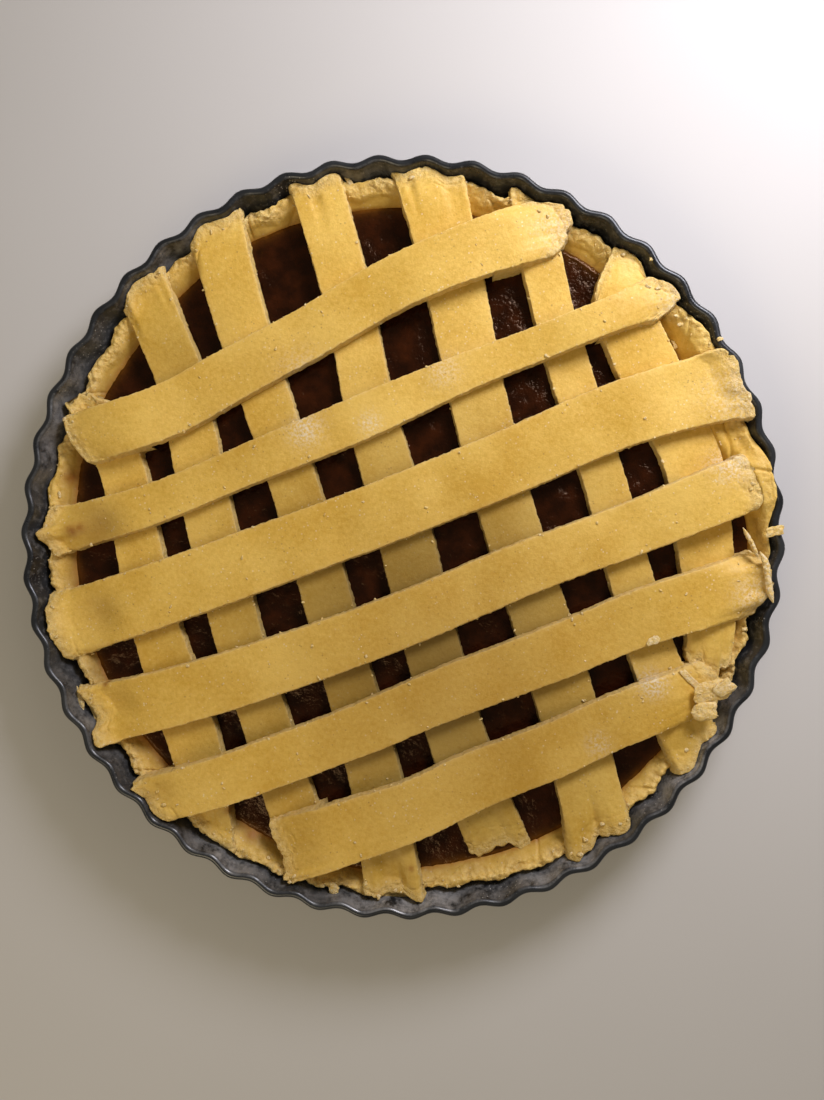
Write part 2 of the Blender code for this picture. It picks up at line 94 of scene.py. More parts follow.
UNDER_STRIPS = (
    strip("under_strip_1", (-118, 60), (-69, -117), (5, 3, 1, 2, 3.5), (18, 17.5, 18.5, 20, 16.5),
          flare=(3, 0), start_cut=(115, 127.5, 134.5), end_cut=(134, 132, 130)),
    strip("under_strip_2", (-96, 96.5), (-36.5, -108.5), (4, 1.5, -1, -2, -1), (19, 18.5, 19, 18.5, 19.5),
          flare=(2, 0), end_cut=(126, 127, 126)),
    strip("under_strip_3", (-67.5, 118), (0, -134.5), (0, 2.5, 4, 4, 4), (20.5, 19, 18.5, 19.5, 21),
          flare=(2, 2.5), end_cut=(135, 131.5, 134)),
    strip("under_strip_4", (-30, 134), (40.5, -119.5), (0, -3, -3, -4.5, -4.5), (19, 18.5, 20.5, 21.5, 23),
          flare=(1, 1.5), end_cut=(126, 121, 122.5)),
    strip("under_strip_5", (12, 137), (77.5, -118), (-1, -3, -3, -0.5, 1), (24, 21.5, 21, 22, 24),
          flare=(4, 5), end_cut=(WALL, 132.5, WALL)),
    strip("under_strip_6", (47.5, 135), (114.5, -86), (-4, -5, -4.5, -5.5, -5.5), (14, 15.5, 15.5, 17, 21)),
    strip("under_strip_7", (80.5, 106), (115, -47), (-1.5, 4, 10.5, 9.5, 6), (18, 22, 21.5, 20, 16),
          start_cut=(WALL, 134, 117), end_cut=(132.3, 125, 116)),
)

TOP_STRIPS = (
    strip("top_strip_1", (-119.5, 37), (59, 114), (-3.5, -1, 1.5, 4.5, 3.5), (20, 20, 19.5, 20, 22),
          start_cut=(133, 127, 117.5), end_cut=(WALL, 132.5, 118)),
    strip("top_strip_2", (-132, 2.5), (101, 89.5), (-4, -3, -2, 0, 0), (17, 15, 16.5, 13, 12.5),
          flare=(3.5, 8), start_cut=(131.5, 134, 129), end_cut=(135, WALL, 125)),
    strip("top_strip_3", (-129.5, -33.5), (127, 58.5), (-1.5, -1.5, -1, 0.5, 3), (24.5, 24, 23.5, 24, 24.5),
          flare=(3.5, 7), start_cut=(133, 134.5, 133)),
    strip("top_strip_4", (-118.5, -68), (128, 21.5), (-4, -5.5, -5, -2.5, -2), (22, 21.5, 20.5, 19.5, 20.5),
          flare=(4, 0), start_cut=(134, 132, WALL), end_cut=(129.5, 131, 132)),
    strip("top_strip_5", (-93, -98.5), (134, -14.5), (-1.5, -1.5, 0.5, 1, 2.5), (18, 19, 20, 20.5, 22),
          start_cut=(134.5, WALL, WALL), end_cut=(131, WALL, 133)),
    strip("top_strip_6", (-47.5, -118), (113.5, -53), (-1.5, -3, -1.5, -1, 1), (25, 23, 21.5, 20, 19),
          flare=(0, 0), start_cut=(116, 124.5, 134.5), end_cut=(120.5, 130, 130.5)),
)


# ---------------------------------------------------------------- numbers

def smooth_value(values, share):
    """Values at shares 0..1 on a smooth curve through evenly spaced values."""
    values = np.asarray(values, float)
    padded = np.concatenate(([2 * values[0] - values[1]], values, [2 * values[-1] - values[-2]]))
    place = clamp(share) * (len(values) - 1)
    index = np.minimum(place.astype(int), len(values) - 2)
    part = place - index
    before, here, after, beyond = (padded[index + shift] for shift in range(4))
    return 0.5 * (2 * here + (after - before) * part
                  + (2 * before - 5 * here + 4 * after - beyond) * part ** 2
                  + (3 * here - before - 3 * after + beyond) * part ** 3)


def clamp(values):
    """Values kept from 0 to 1."""
    return np.minimum(np.maximum(values, 0.0), 1.0)


def eased(share):
    """A share from 0 to 1 with a soft start and end."""
    return share * share * (3 - 2 * share)


def hashed(spots, seed):
    """A number from 0 to 1 that depends only on whole-number places and a seed."""
    mixed = spots[..., 0] * 73856093 ^ spots[..., 1] * 19349663 ^ spots[..., 2] * 83492791
    mixed = mixed ^ seed * 2654435761
    mixed = (mixed & 0xFFFFFFFF) * 1274126177 & 0xFFFFFFFF
    mixed = (mixed ^ (mixed >> 15)) * 2246822519 & 0xFFFFFFFF
    return (mixed ^ (mixed >> 13)) / 2.0 ** 32


def value_noise(points, size, seed):
    """Smooth noise from -1 to 1 on a lattice of the given size."""
    cell = np.asarray(points, float) / size
    base = np.floor(cell).astype(np.int64)
    part = eased(cell - base)
    total = np.zeros(cell.shape[:-1])
    for corner in np.ndindex(2, 2, 2):
        weight = np.prod(np.where(np.array(corner) == 1, part, 1 - part), axis=-1)
        total += weight * (2 * hashed(base + corner, seed) - 1)
    return total


def cracks(points, size, seed):
    """1 along thin wandering lines, 0 elsewhere."""
    return clamp(1.0 - np.abs(value_noise(points * (1.0, 1.0, 0.0), size, seed)) / 0.07)


def grains(points, size, seed):
    """Packed round crumbs of the given size: 1 on top of each, 0 between them."""
    cell = np.asarray(points, float) / size
    base = np.floor(cell).astype(np.int64)
    nearest = np.full(cell.shape[:-1], 9.0)
    for offset in np.ndindex(3, 3, 3):
        corner = base + offset - 1
        middle = corner + np.stack([hashed(corner, seed + axis) for axis in range(3)], axis=-1)
        nearest = np.minimum(nearest, ((cell - middle) ** 2).sum(axis=-1))
    return clamp(1.0 - 1.1 * np.sqrt(nearest))


def rough_noise(points, size, octaves, seed):
    """Noise from about -1 to 1 with finer noise laid over it."""
    total = np.zeros(np.asarray(points).shape[:-1])
    for octave in range(octaves):
        total += value_noise(points, size / 2 ** octave, seed + octave) / 2 ** octave
    return total / 1.5


def strongest(points, places):
    """The greatest of a few soft round spots, each given as x, y, reach and strength, at every point."""
    return np.max([strength * np.exp(-((points[:, 0] - x) ** 2 + (points[:, 1] - y) ** 2) / reach ** 2)
                   for x, y, reach, strength in places], axis=0)


def blurred(values, reach):
    """Values smoothed by a bell of the given reach in samples."""
    steps = np.arange(-3 * reach, 3 * reach + 1)
    bell = np.exp(-(steps / reach) ** 2 / 2)
    padded = np.pad(values, 3 * reach, mode="edge")
    return np.convolve(padded, bell / bell.sum(), mode="valid")


def ring_blurred(values, reach, share):
    """Values of closed rings, smoothed round the ring where the share is 1."""
    steps = np.arange(-3 * reach, 3 * reach + 1)
    total = sum(math.exp(-(step / reach) ** 2 / 2) * np.roll(values, step, axis=0) for step in steps)
    return values * (1 - share) + total / np.exp(-(steps / reach) ** 2 / 2).sum() * share


# ---------------------------------------------------------------- meshes

PIECES = []


def add_object(name, data):
    """A new object in the scene."""
    made = bpy.data.objects.new(name, data)
    bpy.context.scene.collection.objects.link(made)
    return made


def add_piece(name, points, faces, material, node=None, attributes=None):
    """A finished piece on the root body, with a value at each point for each attribute."""
    mesh = bpy.data.meshes.new(name)
    mesh.from_pydata((np.asarray(points) * MM).tolist(), [], faces)
    mesh.update()
    for label, values in (attributes or {}).items():
        layer = mesh.attributes.new(label, "FLOAT", "POINT")
        layer.data.foreach_set("value", np.asarray(values, np.float32))
    mesh.materials.append(material)
    mesh.shade_smooth()
    piece = add_object(name, mesh)
    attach(piece, "root")
    if node:
        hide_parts(node)
    PIECES.append(piece)
    return piece


def loop_faces(rows, columns):
    """Quads over a grid of points whose columns close into rings."""
    faces = []
    for row in range(rows - 1):
        here, after = row * columns, (row + 1) * columns
        for column in range(columns):
            right = (column + 1) % columns
            faces.append((here + column, here + right, after + right, after + column))
    return faces


def tube_faces(rows, columns):
    """Faces over a closed tube of rings, with a flat cap at each end."""
    faces = [tuple(reversed(face)) for face in loop_faces(rows, columns)]
    faces.append(tuple(range(columns)))
    faces.append(tuple(reversed(range((rows - 1) * columns, rows * columns))))
    return faces


def ring_turns(count):
    """Even directions round the axis that start at a flute."""
    return FLUTE_TURN + np.arange(count) * math.tau / count


def ring_points(turns, radii, heights):
    """Points of rings round the axis, from a radius and height for each ring and turn."""
    heights = np.broadcast_to(heights, radii.shape)
    return np.stack((radii * np.cos(turns), radii * np.sin(turns), heights), axis=-1).reshape(-1, 3)


def revolved_faces(rings, count):
    """Faces over rings, with a fan round the middle point at each end."""
    faces = loop_faces(rings, count)
    first, last = rings * count, rings * count + 1
    for step in range(count):
        after = (step + 1) % count
        faces.append((first, after, step))
        faces.append((last, (rings - 1) * count + step, (rings - 1) * count + after))
    return faces


def cad_tree(node):
    """Search tree over a CAD node's mesh."""
    mesh = bpy.data.objects[node].data
    corners = [vertex.co for vertex in mesh.vertices]
    return BVHTree.FromPolygons(corners, [face.vertices for face in mesh.polygons])


def cad_points(node):
    """Points of a CAD node's mesh in millimetres."""
    return np.array([vertex.co[:] for vertex in bpy.data.objects[node].data.vertices]) / MM


def drop_height(tree, x, y, upward=False):
    """Height in millimetres of a tree's top, or underside, at a point, or nan beside it."""
    start = Vector((x * MM, y * MM, -0.1 if upward else 0.1))
    hit = tree.ray_cast(start, Vector((0, 0, 1 if upward else -1)))[0]
    return hit.z / MM if hit else math.nan


# ---------------------------------------------------------------- tin

def flute(turn):
    """How far the flutes stand out from the mean circle in a direction."""
    return FLUTE_DEPTH * np.cos(FLUTES * (turn - FLUTE_TURN))


def flute_share(height):
    """The flutes' depth at a height, as a share of their depth at the rim."""
    return BASE_FLUTE_SHARE + (1.0 - BASE_FLUTE_SHARE) * clamp(height / TIN_HEIGHT)


def wall_radius(height):
    """Mean radius of the tin's inner face."""
    return BASE_RADIUS - STEEL + WALL_SLOPE * (np.minimum(height, TIN_HEIGHT - 1.0) - 1.6)


def inside_tin(points):
    """Points moved in where they would pass through the tin's wall or bead."""
    turns = np.arctan2(points[:, 1], points[:, 0])
    heights = points[:, 2]
    wall = wall_radius(heights) + flute_share(heights) * flute(turns)
    limit = np.minimum(wall, MOUTH_RADIUS + flute(turns)) - TIN_GAP
    limit = np.where(heights > TIN_HEIGHT + TIN_GAP / 2, math.inf, limit)
    scale = np.minimum(1.0, limit / np.maximum(np.hypot(points[:, 0], points[:, 1]), 1.0))
    return points * np.column_stack((scale, scale, np.ones(len(points))))


def tin_profile():
    """Radius and height down the outside from the base's middle, round the bead and back inside."""
    bead_radius = BEAD / 2
    points = [(60.0, 0.0), (BASE_RADIUS - 2.6, 0.0), (BASE_RADIUS - 1.4, 0.05), (BASE_RADIUS - 0.5, 0.35),
              (BASE_RADIUS, 0.9)]
    for share in np.linspace(0.1, 1.0, 10):
        points.append((BASE_RADIUS + (MOUTH_RADIUS + STEEL - BASE_RADIUS) * share,
                       0.9 + (TIN_HEIGHT - BEAD - 0.9) * share))
    for angle in np.radians(np.arange(-75, 181, 15)):
        points.append((MOUTH_RADIUS + bead_radius * (1 + math.cos(angle)),
                       TIN_HEIGHT - bead_radius * (1 - math.sin(angle))))
    for share in np.linspace(0.08, 1.0, 16):
        height = TIN_HEIGHT - bead_radius - (TIN_HEIGHT - bead_radius - 1.6) * share
        points.append((float(wall_radius(height)), height))
    points += [(BASE_RADIUS - STEEL - 0.5, 0.95), (BASE_RADIUS - STEEL - 1.6, STEEL), (60.0, STEEL)]
    return points


TIN_FLOUR = (
    # direction and spread in degrees and strength of the floury places on the tin's inner wall
    (-36.0, 9.0, 1.0), (-62.0, 8.0, 0.8), (-88.0, 12.0, 0.9), (-118.0, 8.0, 0.6), (160.0, 10.0, 0.5),
    (128.0, 8.0, 0.4), (-150.0, 9.0, 0.4), (95.0, 7.0, 0.3),
)
TIN_STEPS = 22
INSIDE_RINGS = 20
BEAD_RINGS = 4


def make_tin():
    """The tin with its fluted wall, rolled bead and the floury places on its inner wall."""
    count = FLUTES * TIN_STEPS
    turns = ring_turns(count)
    profile = np.array(tin_profile())
    radii = profile[:, :1] + flute_share(profile[:, 1:]) * flute(turns) * (profile[:, :1] > 100)
    points = ring_points(turns, radii, profile[:, 1:])
    wobble = 0.12 * rough_noise(points, 30.0, 2, 4)
    points = points * (1 + (wobble / 140.0)[:, None] * (points[:, 2:] > 2))
    points = np.vstack((points, [(0, 0, 0), (0, 0, STEEL)]))
    inside = np.zeros(len(profile))
    inside[-INSIDE_RINGS:] = 1.0
    inside[-INSIDE_RINGS - BEAD_RINGS:-INSIDE_RINGS] = 0.6
    mask = np.append(np.repeat(inside, count), (0, 1))
    turns = np.arctan2(points[:, 1], points[:, 0])
    flour = np.zeros(len(points))
    for middle, spread, share in TIN_FLOUR:
        away = np.remainder(turns - math.radians(middle) + math.pi, math.tau) - math.pi
        flour += share * np.exp(-(away / math.radians(spread)) ** 2)
    add_piece("tin_shell", points, revolved_faces(len(profile), count), tin_material(), "tin",
              {"inside": mask, "floury": flour * mask})


# ---------------------------------------------------------------- dough shell

SHELL_COUNT = FLUTES * 36
SHELL_SCAN = np.arange(117.0, 140.0, 0.25)
RIM_ROWS = 40
SHELL_FLOOR = 7.0
SLOPE_WIDTH = 5.5
# direction towards the light, where the shell's band of damp and painted shade near the jam is faintest, and
# how far from the jam the band reaches
LIGHT_SIDE_TURN = math.radians(20)
DAMP_SHADE_REACH = 7.0
RIM_DROPS = ((0.5, -0.1), (1.1, 0.0), (1.9, 0.2), (3.0, 0.5), (6.0, 1.5), (12.0, 3.5))
# direction, half width and reach inwards of the place where dough lies over the jam's edge
INNER_FILL = (math.radians(19.0), math.radians(8.5), 5.0)
OUTER_FILLS = (
    # direction, half width, height and reach inwards of the places where the rim is a broad flat sheet
    (math.radians(2.0), math.radians(9.0), 25.6, 4.0),
    (math.radians(33.0), math.radians(6.5), 25.4, 8.0),
)
FILL_BLUR = 9


def bell(turn, middle, half_width):
    """1 round a direction, falling to 0 past a half width."""
    return math.exp(-(math.remainder(turn - middle, math.tau) / half_width) ** 4)


def scan_shell():
    """Heights of the shell's rim over rings round the axis, and its outer and inner edge at each turn.

    The dough rises from the jam in a soft slope.
    """
    tree = cad_tree("crust_shell")
    turns = ring_turns(SHELL_COUNT)
    heights = np.empty((SHELL_COUNT, len(SHELL_SCAN)))
    outer, inner, smoothed = np.empty(SHELL_COUNT), np.empty(SHELL_COUNT), np.empty(SHELL_COUNT)
    for row, turn in enumerate(turns):
        found = np.array([drop_height(tree, radius * math.cos(turn), radius * math.sin(turn))
                          for radius in SHELL_SCAN])
        known = np.isfinite(found)
        outer[row] = SHELL_SCAN[known][-1]
        heights[row] = np.interp(SHELL_SCAN, SHELL_SCAN[known], found[known])
        inner[row] = SHELL_SCAN[np.argmax(heights[row] > JAM_TOP - 0.6)]
        fill = bell(turn, *INNER_FILL[:2])
        plateau = np.interp(inner[row] + 3.5, SHELL_SCAN, heights[row])
        inner[row] -= INNER_FILL[2] * fill
        filled = (SHELL_SCAN > inner[row]) & (fill > 0.02)
        heights[row] = np.where(filled, np.maximum(heights[row], plateau), heights[row])
        edge = 0.0
        for direction, half_width, level, width in OUTER_FILLS:
            share = bell(turn, direction, half_width)
            beyond = clamp((SHELL_SCAN - outer[row] + width) / width) * share
            heights[row] += np.clip(level - heights[row], 0.0, 9.0) * beyond
            outer[row] += max(0.0, wall_radius(level) + flute(turn) - 0.5 - outer[row]) * share
            edge = max(edge, share)
        climb = clamp((SHELL_SCAN - inner[row]) / (SLOPE_WIDTH - 3.0 * fill))
        climb = 1.0 - (1.0 - climb) ** 1.7
        foot = JAM_TOP - 0.2
        below = 1.4 * np.clip(inner[row] - SHELL_SCAN, 0.0, 4.0)
        heights[row] = foot + (heights[row] - foot) * climb - below
        smoothed[row] = max(fill, edge)
    outer, inner = (ring_blurred(edges, FILL_BLUR, smoothed) for edges in (outer, inner))
    return turns, ring_blurred(heights, FILL_BLUR, smoothed[:, None]), outer, inner


def shell_rings(scan):
    """Radii and heights of the shell's rings, from under its middle round the rim to its floor inside."""
    _, heights, outer, inner = scan
    floor = np.full(SHELL_COUNT, SHELL_FLOOR)
    rings = [(np.full(SHELL_COUNT, radius), floor) for radius in (4.0, 60.0, 100.0)]
    rings.append((inner - 6.0, floor + 0.2))
    start = len(rings)
    for share in np.linspace(0.0, 1.0, RIM_ROWS):
        radius = inner - 1.5 + (outer - 0.2 - inner + 1.5) * share
        rings.append((radius, np.array([np.interp(radius[row], SHELL_SCAN, heights[row])
                                        for row in range(SHELL_COUNT)])))
    rim_foot, rim_top = rings[start][1], rings[-1][1]
    high = clamp((rim_top - 24.0) / 4.0)
    for step in range(RIM_ROWS):
        radius, level = rings[start + step]
        share = step / (RIM_ROWS - 1)
        full = rim_foot + (rim_top - rim_foot) * min(1.0, 1.9 * share) ** 0.8
        rings[start + step] = (radius, level * (1 - high) + np.maximum(level, full) * high)
    for drop, pull in RIM_DROPS:
        rings.append((outer - pull, rim_top - drop))
    rings.append((np.full(SHELL_COUNT, 126.0), np.full(SHELL_COUNT, 1.0)))
    rings.append((np.full(SHELL_COUNT, 60.0), np.full(SHELL_COUNT, 0.9)))
    rings = rings[::-1]
    return np.array([ring[0] for ring in rings]), np.array([ring[1] for ring in rings]), rim_top


def make_shell(scan):
    """The dough shell: crumbly along its torn top edge with painted shade in the gaps between its crumbs, and
    damp and dark where it meets the jam, partly painted shade that is strongest on the side away from the
    light.
    """
    turns, _, outer, inner = scan
    radii, tops, rim_top = shell_rings(scan)
    count = len(radii)
    flat = ring_points(turns, radii, tops)
    reach = np.hypot(flat[:, 0], flat[:, 1])
    rim = clamp((flat[:, 2] - 14.0) / 4.0)
    from_jam = reach - np.tile(inner, count)
    clear = clamp(from_jam / 3.0)
    crumbly = clamp((reach - np.tile(outer, count) + 7.0) / 5.0) * rim
    crumbly = crumbly * np.clip(0.8 + 0.9 * rough_noise(flat, 12.0, 2, 10), 0.25, 1.0)
    lap = np.tile(clamp((rim_top - 24.0) / 2.5), count)
    crumbly = crumbly * (1.0 - 0.7 * lap)
    level = flat * (1.0, 1.0, 0.3)
    large, small = grains(level, 3.4, 13), grains(level, 1.7, 16)
    lift = (0.5 * rough_noise(flat, 11.0, 2, 11) * clear + 0.15 * rough_noise(flat, 2.2, 2, 12)
            + crumbly * (1.0 + 2.1 * (large - 0.4) + 1.3 * (small - 0.4))
            - 0.8 * cracks(flat, 16.0, 17) * clear)
    # painted shade: a little darker all over, and much darker in the gaps between the rim's crumbs
    shade = 0.06 + crumbly * np.clip(0.55 - 0.9 * large - 0.5 * small, -0.1, 0.45)
    flat = flat + np.stack((np.zeros(len(flat)), np.zeros(len(flat)), lift * rim), axis=-1)
    ragged = 1.5 * rough_noise(flat * (1, 1, 0), 8.0, 3, 19) + 1.0 * (grains(level, 2.6, 20) - 0.5) - 0.9
    push = np.minimum(crumbly * ragged, 0.25) * (1.0 - 0.8 * lap)
    flat[:, :2] *= (1 + push / reach)[:, None]
    flat = np.vstack((inside_tin(flat), [(0, 0, 0.9), (0, 0, SHELL_FLOOR)]))
    # damp dough and painted shade: the shell is darker within a few millimetres of the jam, partly jam-damp
    # and partly painted shade, most on the side turned away from the light
    side = 0.62 - 0.42 * np.cos(np.tile(turns, count) - LIGHT_SIDE_TURN)
    out_of_band = (from_jam - 1.0 * rough_noise(flat[:-2], 5.0, 2, 21)) / DAMP_SHADE_REACH
    damp_and_shade = side * clamp(1.0 - out_of_band) ** 0.85
    return add_piece("dough_shell", flat, revolved_faces(count, SHELL_COUNT),
                     dough_material("shell_dough_look", SHELL_BRIGHTNESS), "crust_shell",
                     {"stain": jam_stain(flat), "flour": np.zeros(len(flat)),
                      "crumb": np.append(crumbly, (0, 0)), "damp_and_shade": np.append(damp_and_shade, (1, 1)),
                      "shade": np.append(clamp(shade), (0, 0))})


def jam_stain(points):
    """How far jam has coloured the dough: a thin line at the jam's level and a few smears."""
    wander = 0.6 * rough_noise(points, 7.0, 2, 41)
    line = clamp(1.0 - (points[:, 2] - JAM_TOP - 0.1 - wander) / 1.5) ** 1.5
    return np.maximum(line, strongest(points, SMEARS))


SMEARS = (
    # x, y, reach and strength; the first lies on the shell alone
    (-124.0, 24.0, 3.0, 1.0), (-122.0, 3.5, 2.4, 1.0), (-119.0, 4.5, 1.8, 1.0), (-110.0, -54.5, 1.3, 1.0),
    (6.0, -122.0, 1.2, 1.0), (-55.0, -112.0, 2.4, 1.0), (-62.0, -101.0, 2.0, 1.0),
)


# ---------------------------------------------------------------- jam

JAM_RINGS = 84
JAM_COUNT = 600


def make_jam(scan):
    """The jam: a lumpy surface that creeps up the dough round its edge."""
    turns, heights = scan[:2]
    edges = np.array([SHELL_SCAN[np.argmax(row > JAM_TOP + 0.35)] for row in heights])
    fine = ring_turns(JAM_COUNT)
    edges = np.interp(fine, turns, edges, period=math.tau)
    shares = np.linspace(0.012, 1.0, JAM_RINGS)
    radii = shares[:, None] * edges
    flat = ring_points(fine, radii, JAM_TOP)
    bumps = 0.5 * rough_noise(flat, 7.5, 2, 31) + 0.22 * rough_noise(flat, 3.2, 2, 32)
    gap = np.tile(edges, JAM_RINGS) - np.hypot(flat[:, 0], flat[:, 1])
    flat[:, 2] += np.clip(bumps, -0.5, 0.55) * np.clip(gap / 3.0, 0.15, 1.0) + 0.35 * np.exp(-gap / 1.5)
    faces = loop_faces(JAM_RINGS, JAM_COUNT)
    foot = flat[-JAM_COUNT:] * (0.985, 0.985, 0.0) + (0, 0, 8.0)
    points = np.vstack((flat, foot, [(0, 0, JAM_TOP), (0, 0, 8.0)]))
    rows = JAM_RINGS * JAM_COUNT
    for step in range(JAM_COUNT):
        after = (step + 1) % JAM_COUNT
        faces.append((rows - JAM_COUNT + step, rows - JAM_COUNT + after, rows + after, rows + step))
        faces.append((len(points) - 2, after, step))
        faces.append((len(points) - 1, rows + step, rows + after))
    faces = [tuple(reversed(face)) for face in faces]
    thin = np.concatenate((np.exp(-gap / 1.4), np.zeros(JAM_COUNT + 2)))
    add_piece("jam", points, faces, jam_material(), "jam_filling", {"thin": thin})


# ---------------------------------------------------------------- strips

HEIGHT_BLUR = 9
STATION_STEP = 0.85
END_STEP = 0.42
END_REACH = 9.0
EDGE_DISTANCES = (0.0, 0.22, 0.5, 0.85, 1.3, 1.9, 2.6, 3.3, 4.0, 4.7, 5.4, 6.1, 6.8, 7.6, 8.4, 9.2)
SIDE_DEPTHS = (0.12, 0.3, 0.48, 0.66, 0.84)
UNDER_LANES = (1.0, 0.5, 0.0, -0.5, -1.0)
EDGE_ROUND = 0.34
PRESS_LENGTH = 6.5
PRESS_DEPTH = 0.9
CORNER_ROUND = 1.8
CLIMB_LENGTH = 9.0
CLIMB_RADII = (131.5, 134.5)
LAP_LIFT = 1.6
# by strip, the start's value and then the end's
OVERLAPS = {"top_strip_3": (0.0, 1.7), "top_strip_5": (0.0, 1.2)}
NO_OVERLAP = (0.0, 0.0)
TORN = {
    # how ragged the start and the end are: 0 cut clean, 1 torn
    "top_strip_1": (0.25, 1.2), "top_strip_2": (0.7, 1.0), "top_strip_3": (0.5, 1.0),
    "top_strip_4": (0.8, 0.5), "top_strip_6": (0.6, 1.3), "under_strip_4": (1.0, 1.5),
    "under_strip_5": (1.0, 0.8),
}
RAGGED = (1.0, 1.0)
CLIMBS = {
    # how far the start and the end climb the tin's wall: 0 lies on the shell, 1 reaches the bead
    "top_strip_1": (0.6, 0.0), "top_strip_2": (1.0, 0.0), "top_strip_4": (1.0, 0.0),
    "under_strip_6": (0.3, 1.0), "under_strip_7": (0.0, 0.4),
}
FULL_CLIMB = (1.0, 1.0)
END_THICKNESS = 1.5
SUNK = {
    # how far the start and the end may sink to the dough below them
    "top_strip_1": (1.5, 1.8), "top_strip_2": (3.0, 1.2), "top_strip_4": (3.0, 0.7),
    "under_strip_7": (0.6, 1.5),
}
MOST_SUNK = (3.0, 3.0)
GROUND_REACH = 21.0
DIPS = (
    # x, y, reach and depth of the hollows where strips sag between what carries them
    (-110.5, 4.5, 7.5, 2.0), (-111.5, -29.0, 8.0, 2.2), (-89.0, -96.0, 8.0, 1.8), (-95.5, 91.0, 8.0, 1.6),
    (-106.0, -62.0, 8.0, 0.9), (113.0, 60.0, 9.0, 0.8), (-35.0, -104.0, 9.0, 0.8), (100.0, -78.0, 7.0, 1.0),
    (49.0, 22.0, 9.0, 0.7), (-20.0, 0.0, 9.0, 0.7), (20.0, -10.0, 9.0, 0.6), (-5.0, 77.0, 9.0, 0.7),
    (62.0, -28.0, 9.0, 0.6), (10.0, -72.0, 10.0, 0.8), (-62.0, 22.0, 9.0, 0.7), (75.0, 10.0, 9.0, 0.6),
    (104.0, 52.0, 8.0, 0.6), (60.0, 62.0, 8.0, 0.5), (-45.0, -60.0, 9.0, 0.6), (35.0, 100.0, 9.0, 0.6),
)


def strip_frames(row, shares):
    """Middles, left-hand directions and half widths at shares of a strip's length."""
    start, end = np.array(row["start"], float), np.array(row["end"], float)
    length = np.linalg.norm(end - start)
    along = (end - start) / length
    left = np.array((-along[1], along[0]))
    step = 0.01
    inside = clamp(shares)
    near = np.clip(inside, step, 1.0 - step)
    sway = smooth_value(row["sway"], inside)
    change = smooth_value(row["sway"], near + step) - smooth_value(row["sway"], near - step)
    slope = change / (2 * step * length)
    direction = along + slope[..., None] * left
    direction /= np.linalg.norm(direction, axis=-1, keepdims=True)
    middles = start + (end - start) * inside[..., None] + left * sway[..., None]
    middles = middles + direction * ((shares - inside) * length)[..., None]
    lefts = np.stack((-direction[..., 1], direction[..., 0]), axis=-1)
    flare = (row["flare"][0] * np.exp(-inside * length / FLARE_LENGTH)
             + row["flare"][1] * np.exp(-(1.0 - inside) * length / FLARE_LENGTH))
    return middles, lefts, (smooth_value(row["width"], inside) + flare) / 2


def cut_radii(row, at_end, lanes):
    """Distance from the axis at which each lane is cut."""
    left, middle, right = row["end_cut" if at_end else "start_cut"]
    return middle + np.where(lanes > 0, left - middle, right - middle) * np.abs(lanes)


def lane_radius(row, share, lanes):
    """Distance from the axis of each lane at its share of the strip's length."""
    middles, lefts, halves = strip_frames(row, share)
    return np.linalg.norm(middles + lefts * (halves * lanes)[:, None], axis=1)


def end_shares(row, at_end, lanes, seed):
    """Share of the strip's length at which each lane meets its ragged cut or the tin's bead."""
    length = math.dist(row["start"], row["end"])
    near = np.full(len(lanes), 0.5)
    far = np.full(len(lanes), 1.15 if at_end else -0.15)
    cuts = cut_radii(row, at_end, lanes)
    over = OVERLAPS.get(row["name"], NO_OVERLAP)[at_end]
    for _ in range(26):
        trial = (near + far) / 2
        middles, lefts, halves = strip_frames(row, trial)
        spots = middles + lefts * (halves * lanes)[:, None]
        turns = np.arctan2(spots[:, 1], spots[:, 0])
        solid = np.column_stack((spots, np.zeros(len(lanes))))
        ragged = (1.2 * rough_noise(solid, 7.0, 3, seed) + 1.3 * (grains(solid, 2.4, seed + 1) - 0.45)
                  + 0.5 * (grains(solid, 1.2, seed + 2) - 0.45) - 0.4)
        ragged = ragged * TORN.get(row["name"], RAGGED)[at_end]
        short = 1.6 * (1.0 - CLIMBS.get(row["name"], FULL_CLIMB)[at_end])
        bead = MOUTH_RADIUS - END_GAP - short + over + flute(turns) + 0.6 * np.minimum(ragged, 0.3)
        inside = np.hypot(spots[:, 0], spots[:, 1]) < np.minimum(cuts + ragged, bead)
        near = np.where(inside, trial, near)
        far = np.where(inside, far, trial)
    rounded = CORNER_ROUND * np.abs(lanes) ** 7 / length
    return near + (-rounded if at_end else rounded)


def cad_heights(row):
    """Smoothed top and underside of the CAD strip along its middle line."""
    tree = cad_tree(row["name"])
    shares = np.arange(-0.08, 1.08, 0.5 / math.dist(row["start"], row["end"]))
    middles = strip_frames(row, shares)[0]
    tops = np.array([drop_height(tree, *middle) for middle in middles])
    unders = np.array([drop_height(tree, *middle, upward=True) for middle in middles])
    found = np.isfinite(tops)
    return shares[found], blurred(tops[found], HEIGHT_BLUR), blurred(unders[found], HEIGHT_BLUR)


def section():
    """Ring round a strip's cross-section: lane from -1 to 1, depth from 0 at the top to 1 underneath."""
    right = [1.0 - distance / 10.0 for distance in EDGE_DISTANCES]
    ring = [(-lane, 0.0) for lane in right] + [(0.0, 0.0)] + [(lane, 0.0) for lane in reversed(right)]
    ring += [(1.0, depth) for depth in SIDE_DEPTHS]
    ring += [(lane, 1.0) for lane in UNDER_LANES]
    ring += [(-1.0, depth) for depth in reversed(SIDE_DEPTHS)]
    return np.array(ring)


# reach past the cut and share of the thickness of the rings that round off a strip's ends
END_CAPS = ((0.3, 0.93), (0.62, 0.72), (0.85, 0.4), (0.92, 0.1))


def station_shares(length):
    """Shares of a strip's length, closer together near its ends."""
    ends = np.arange(0.0, END_REACH, END_STEP)
    middle = np.linspace(END_REACH, length - END_REACH, int((length - 2 * END_REACH) / STATION_STEP))
    return np.concatenate((ends, middle, length - ends[::-1])) / length


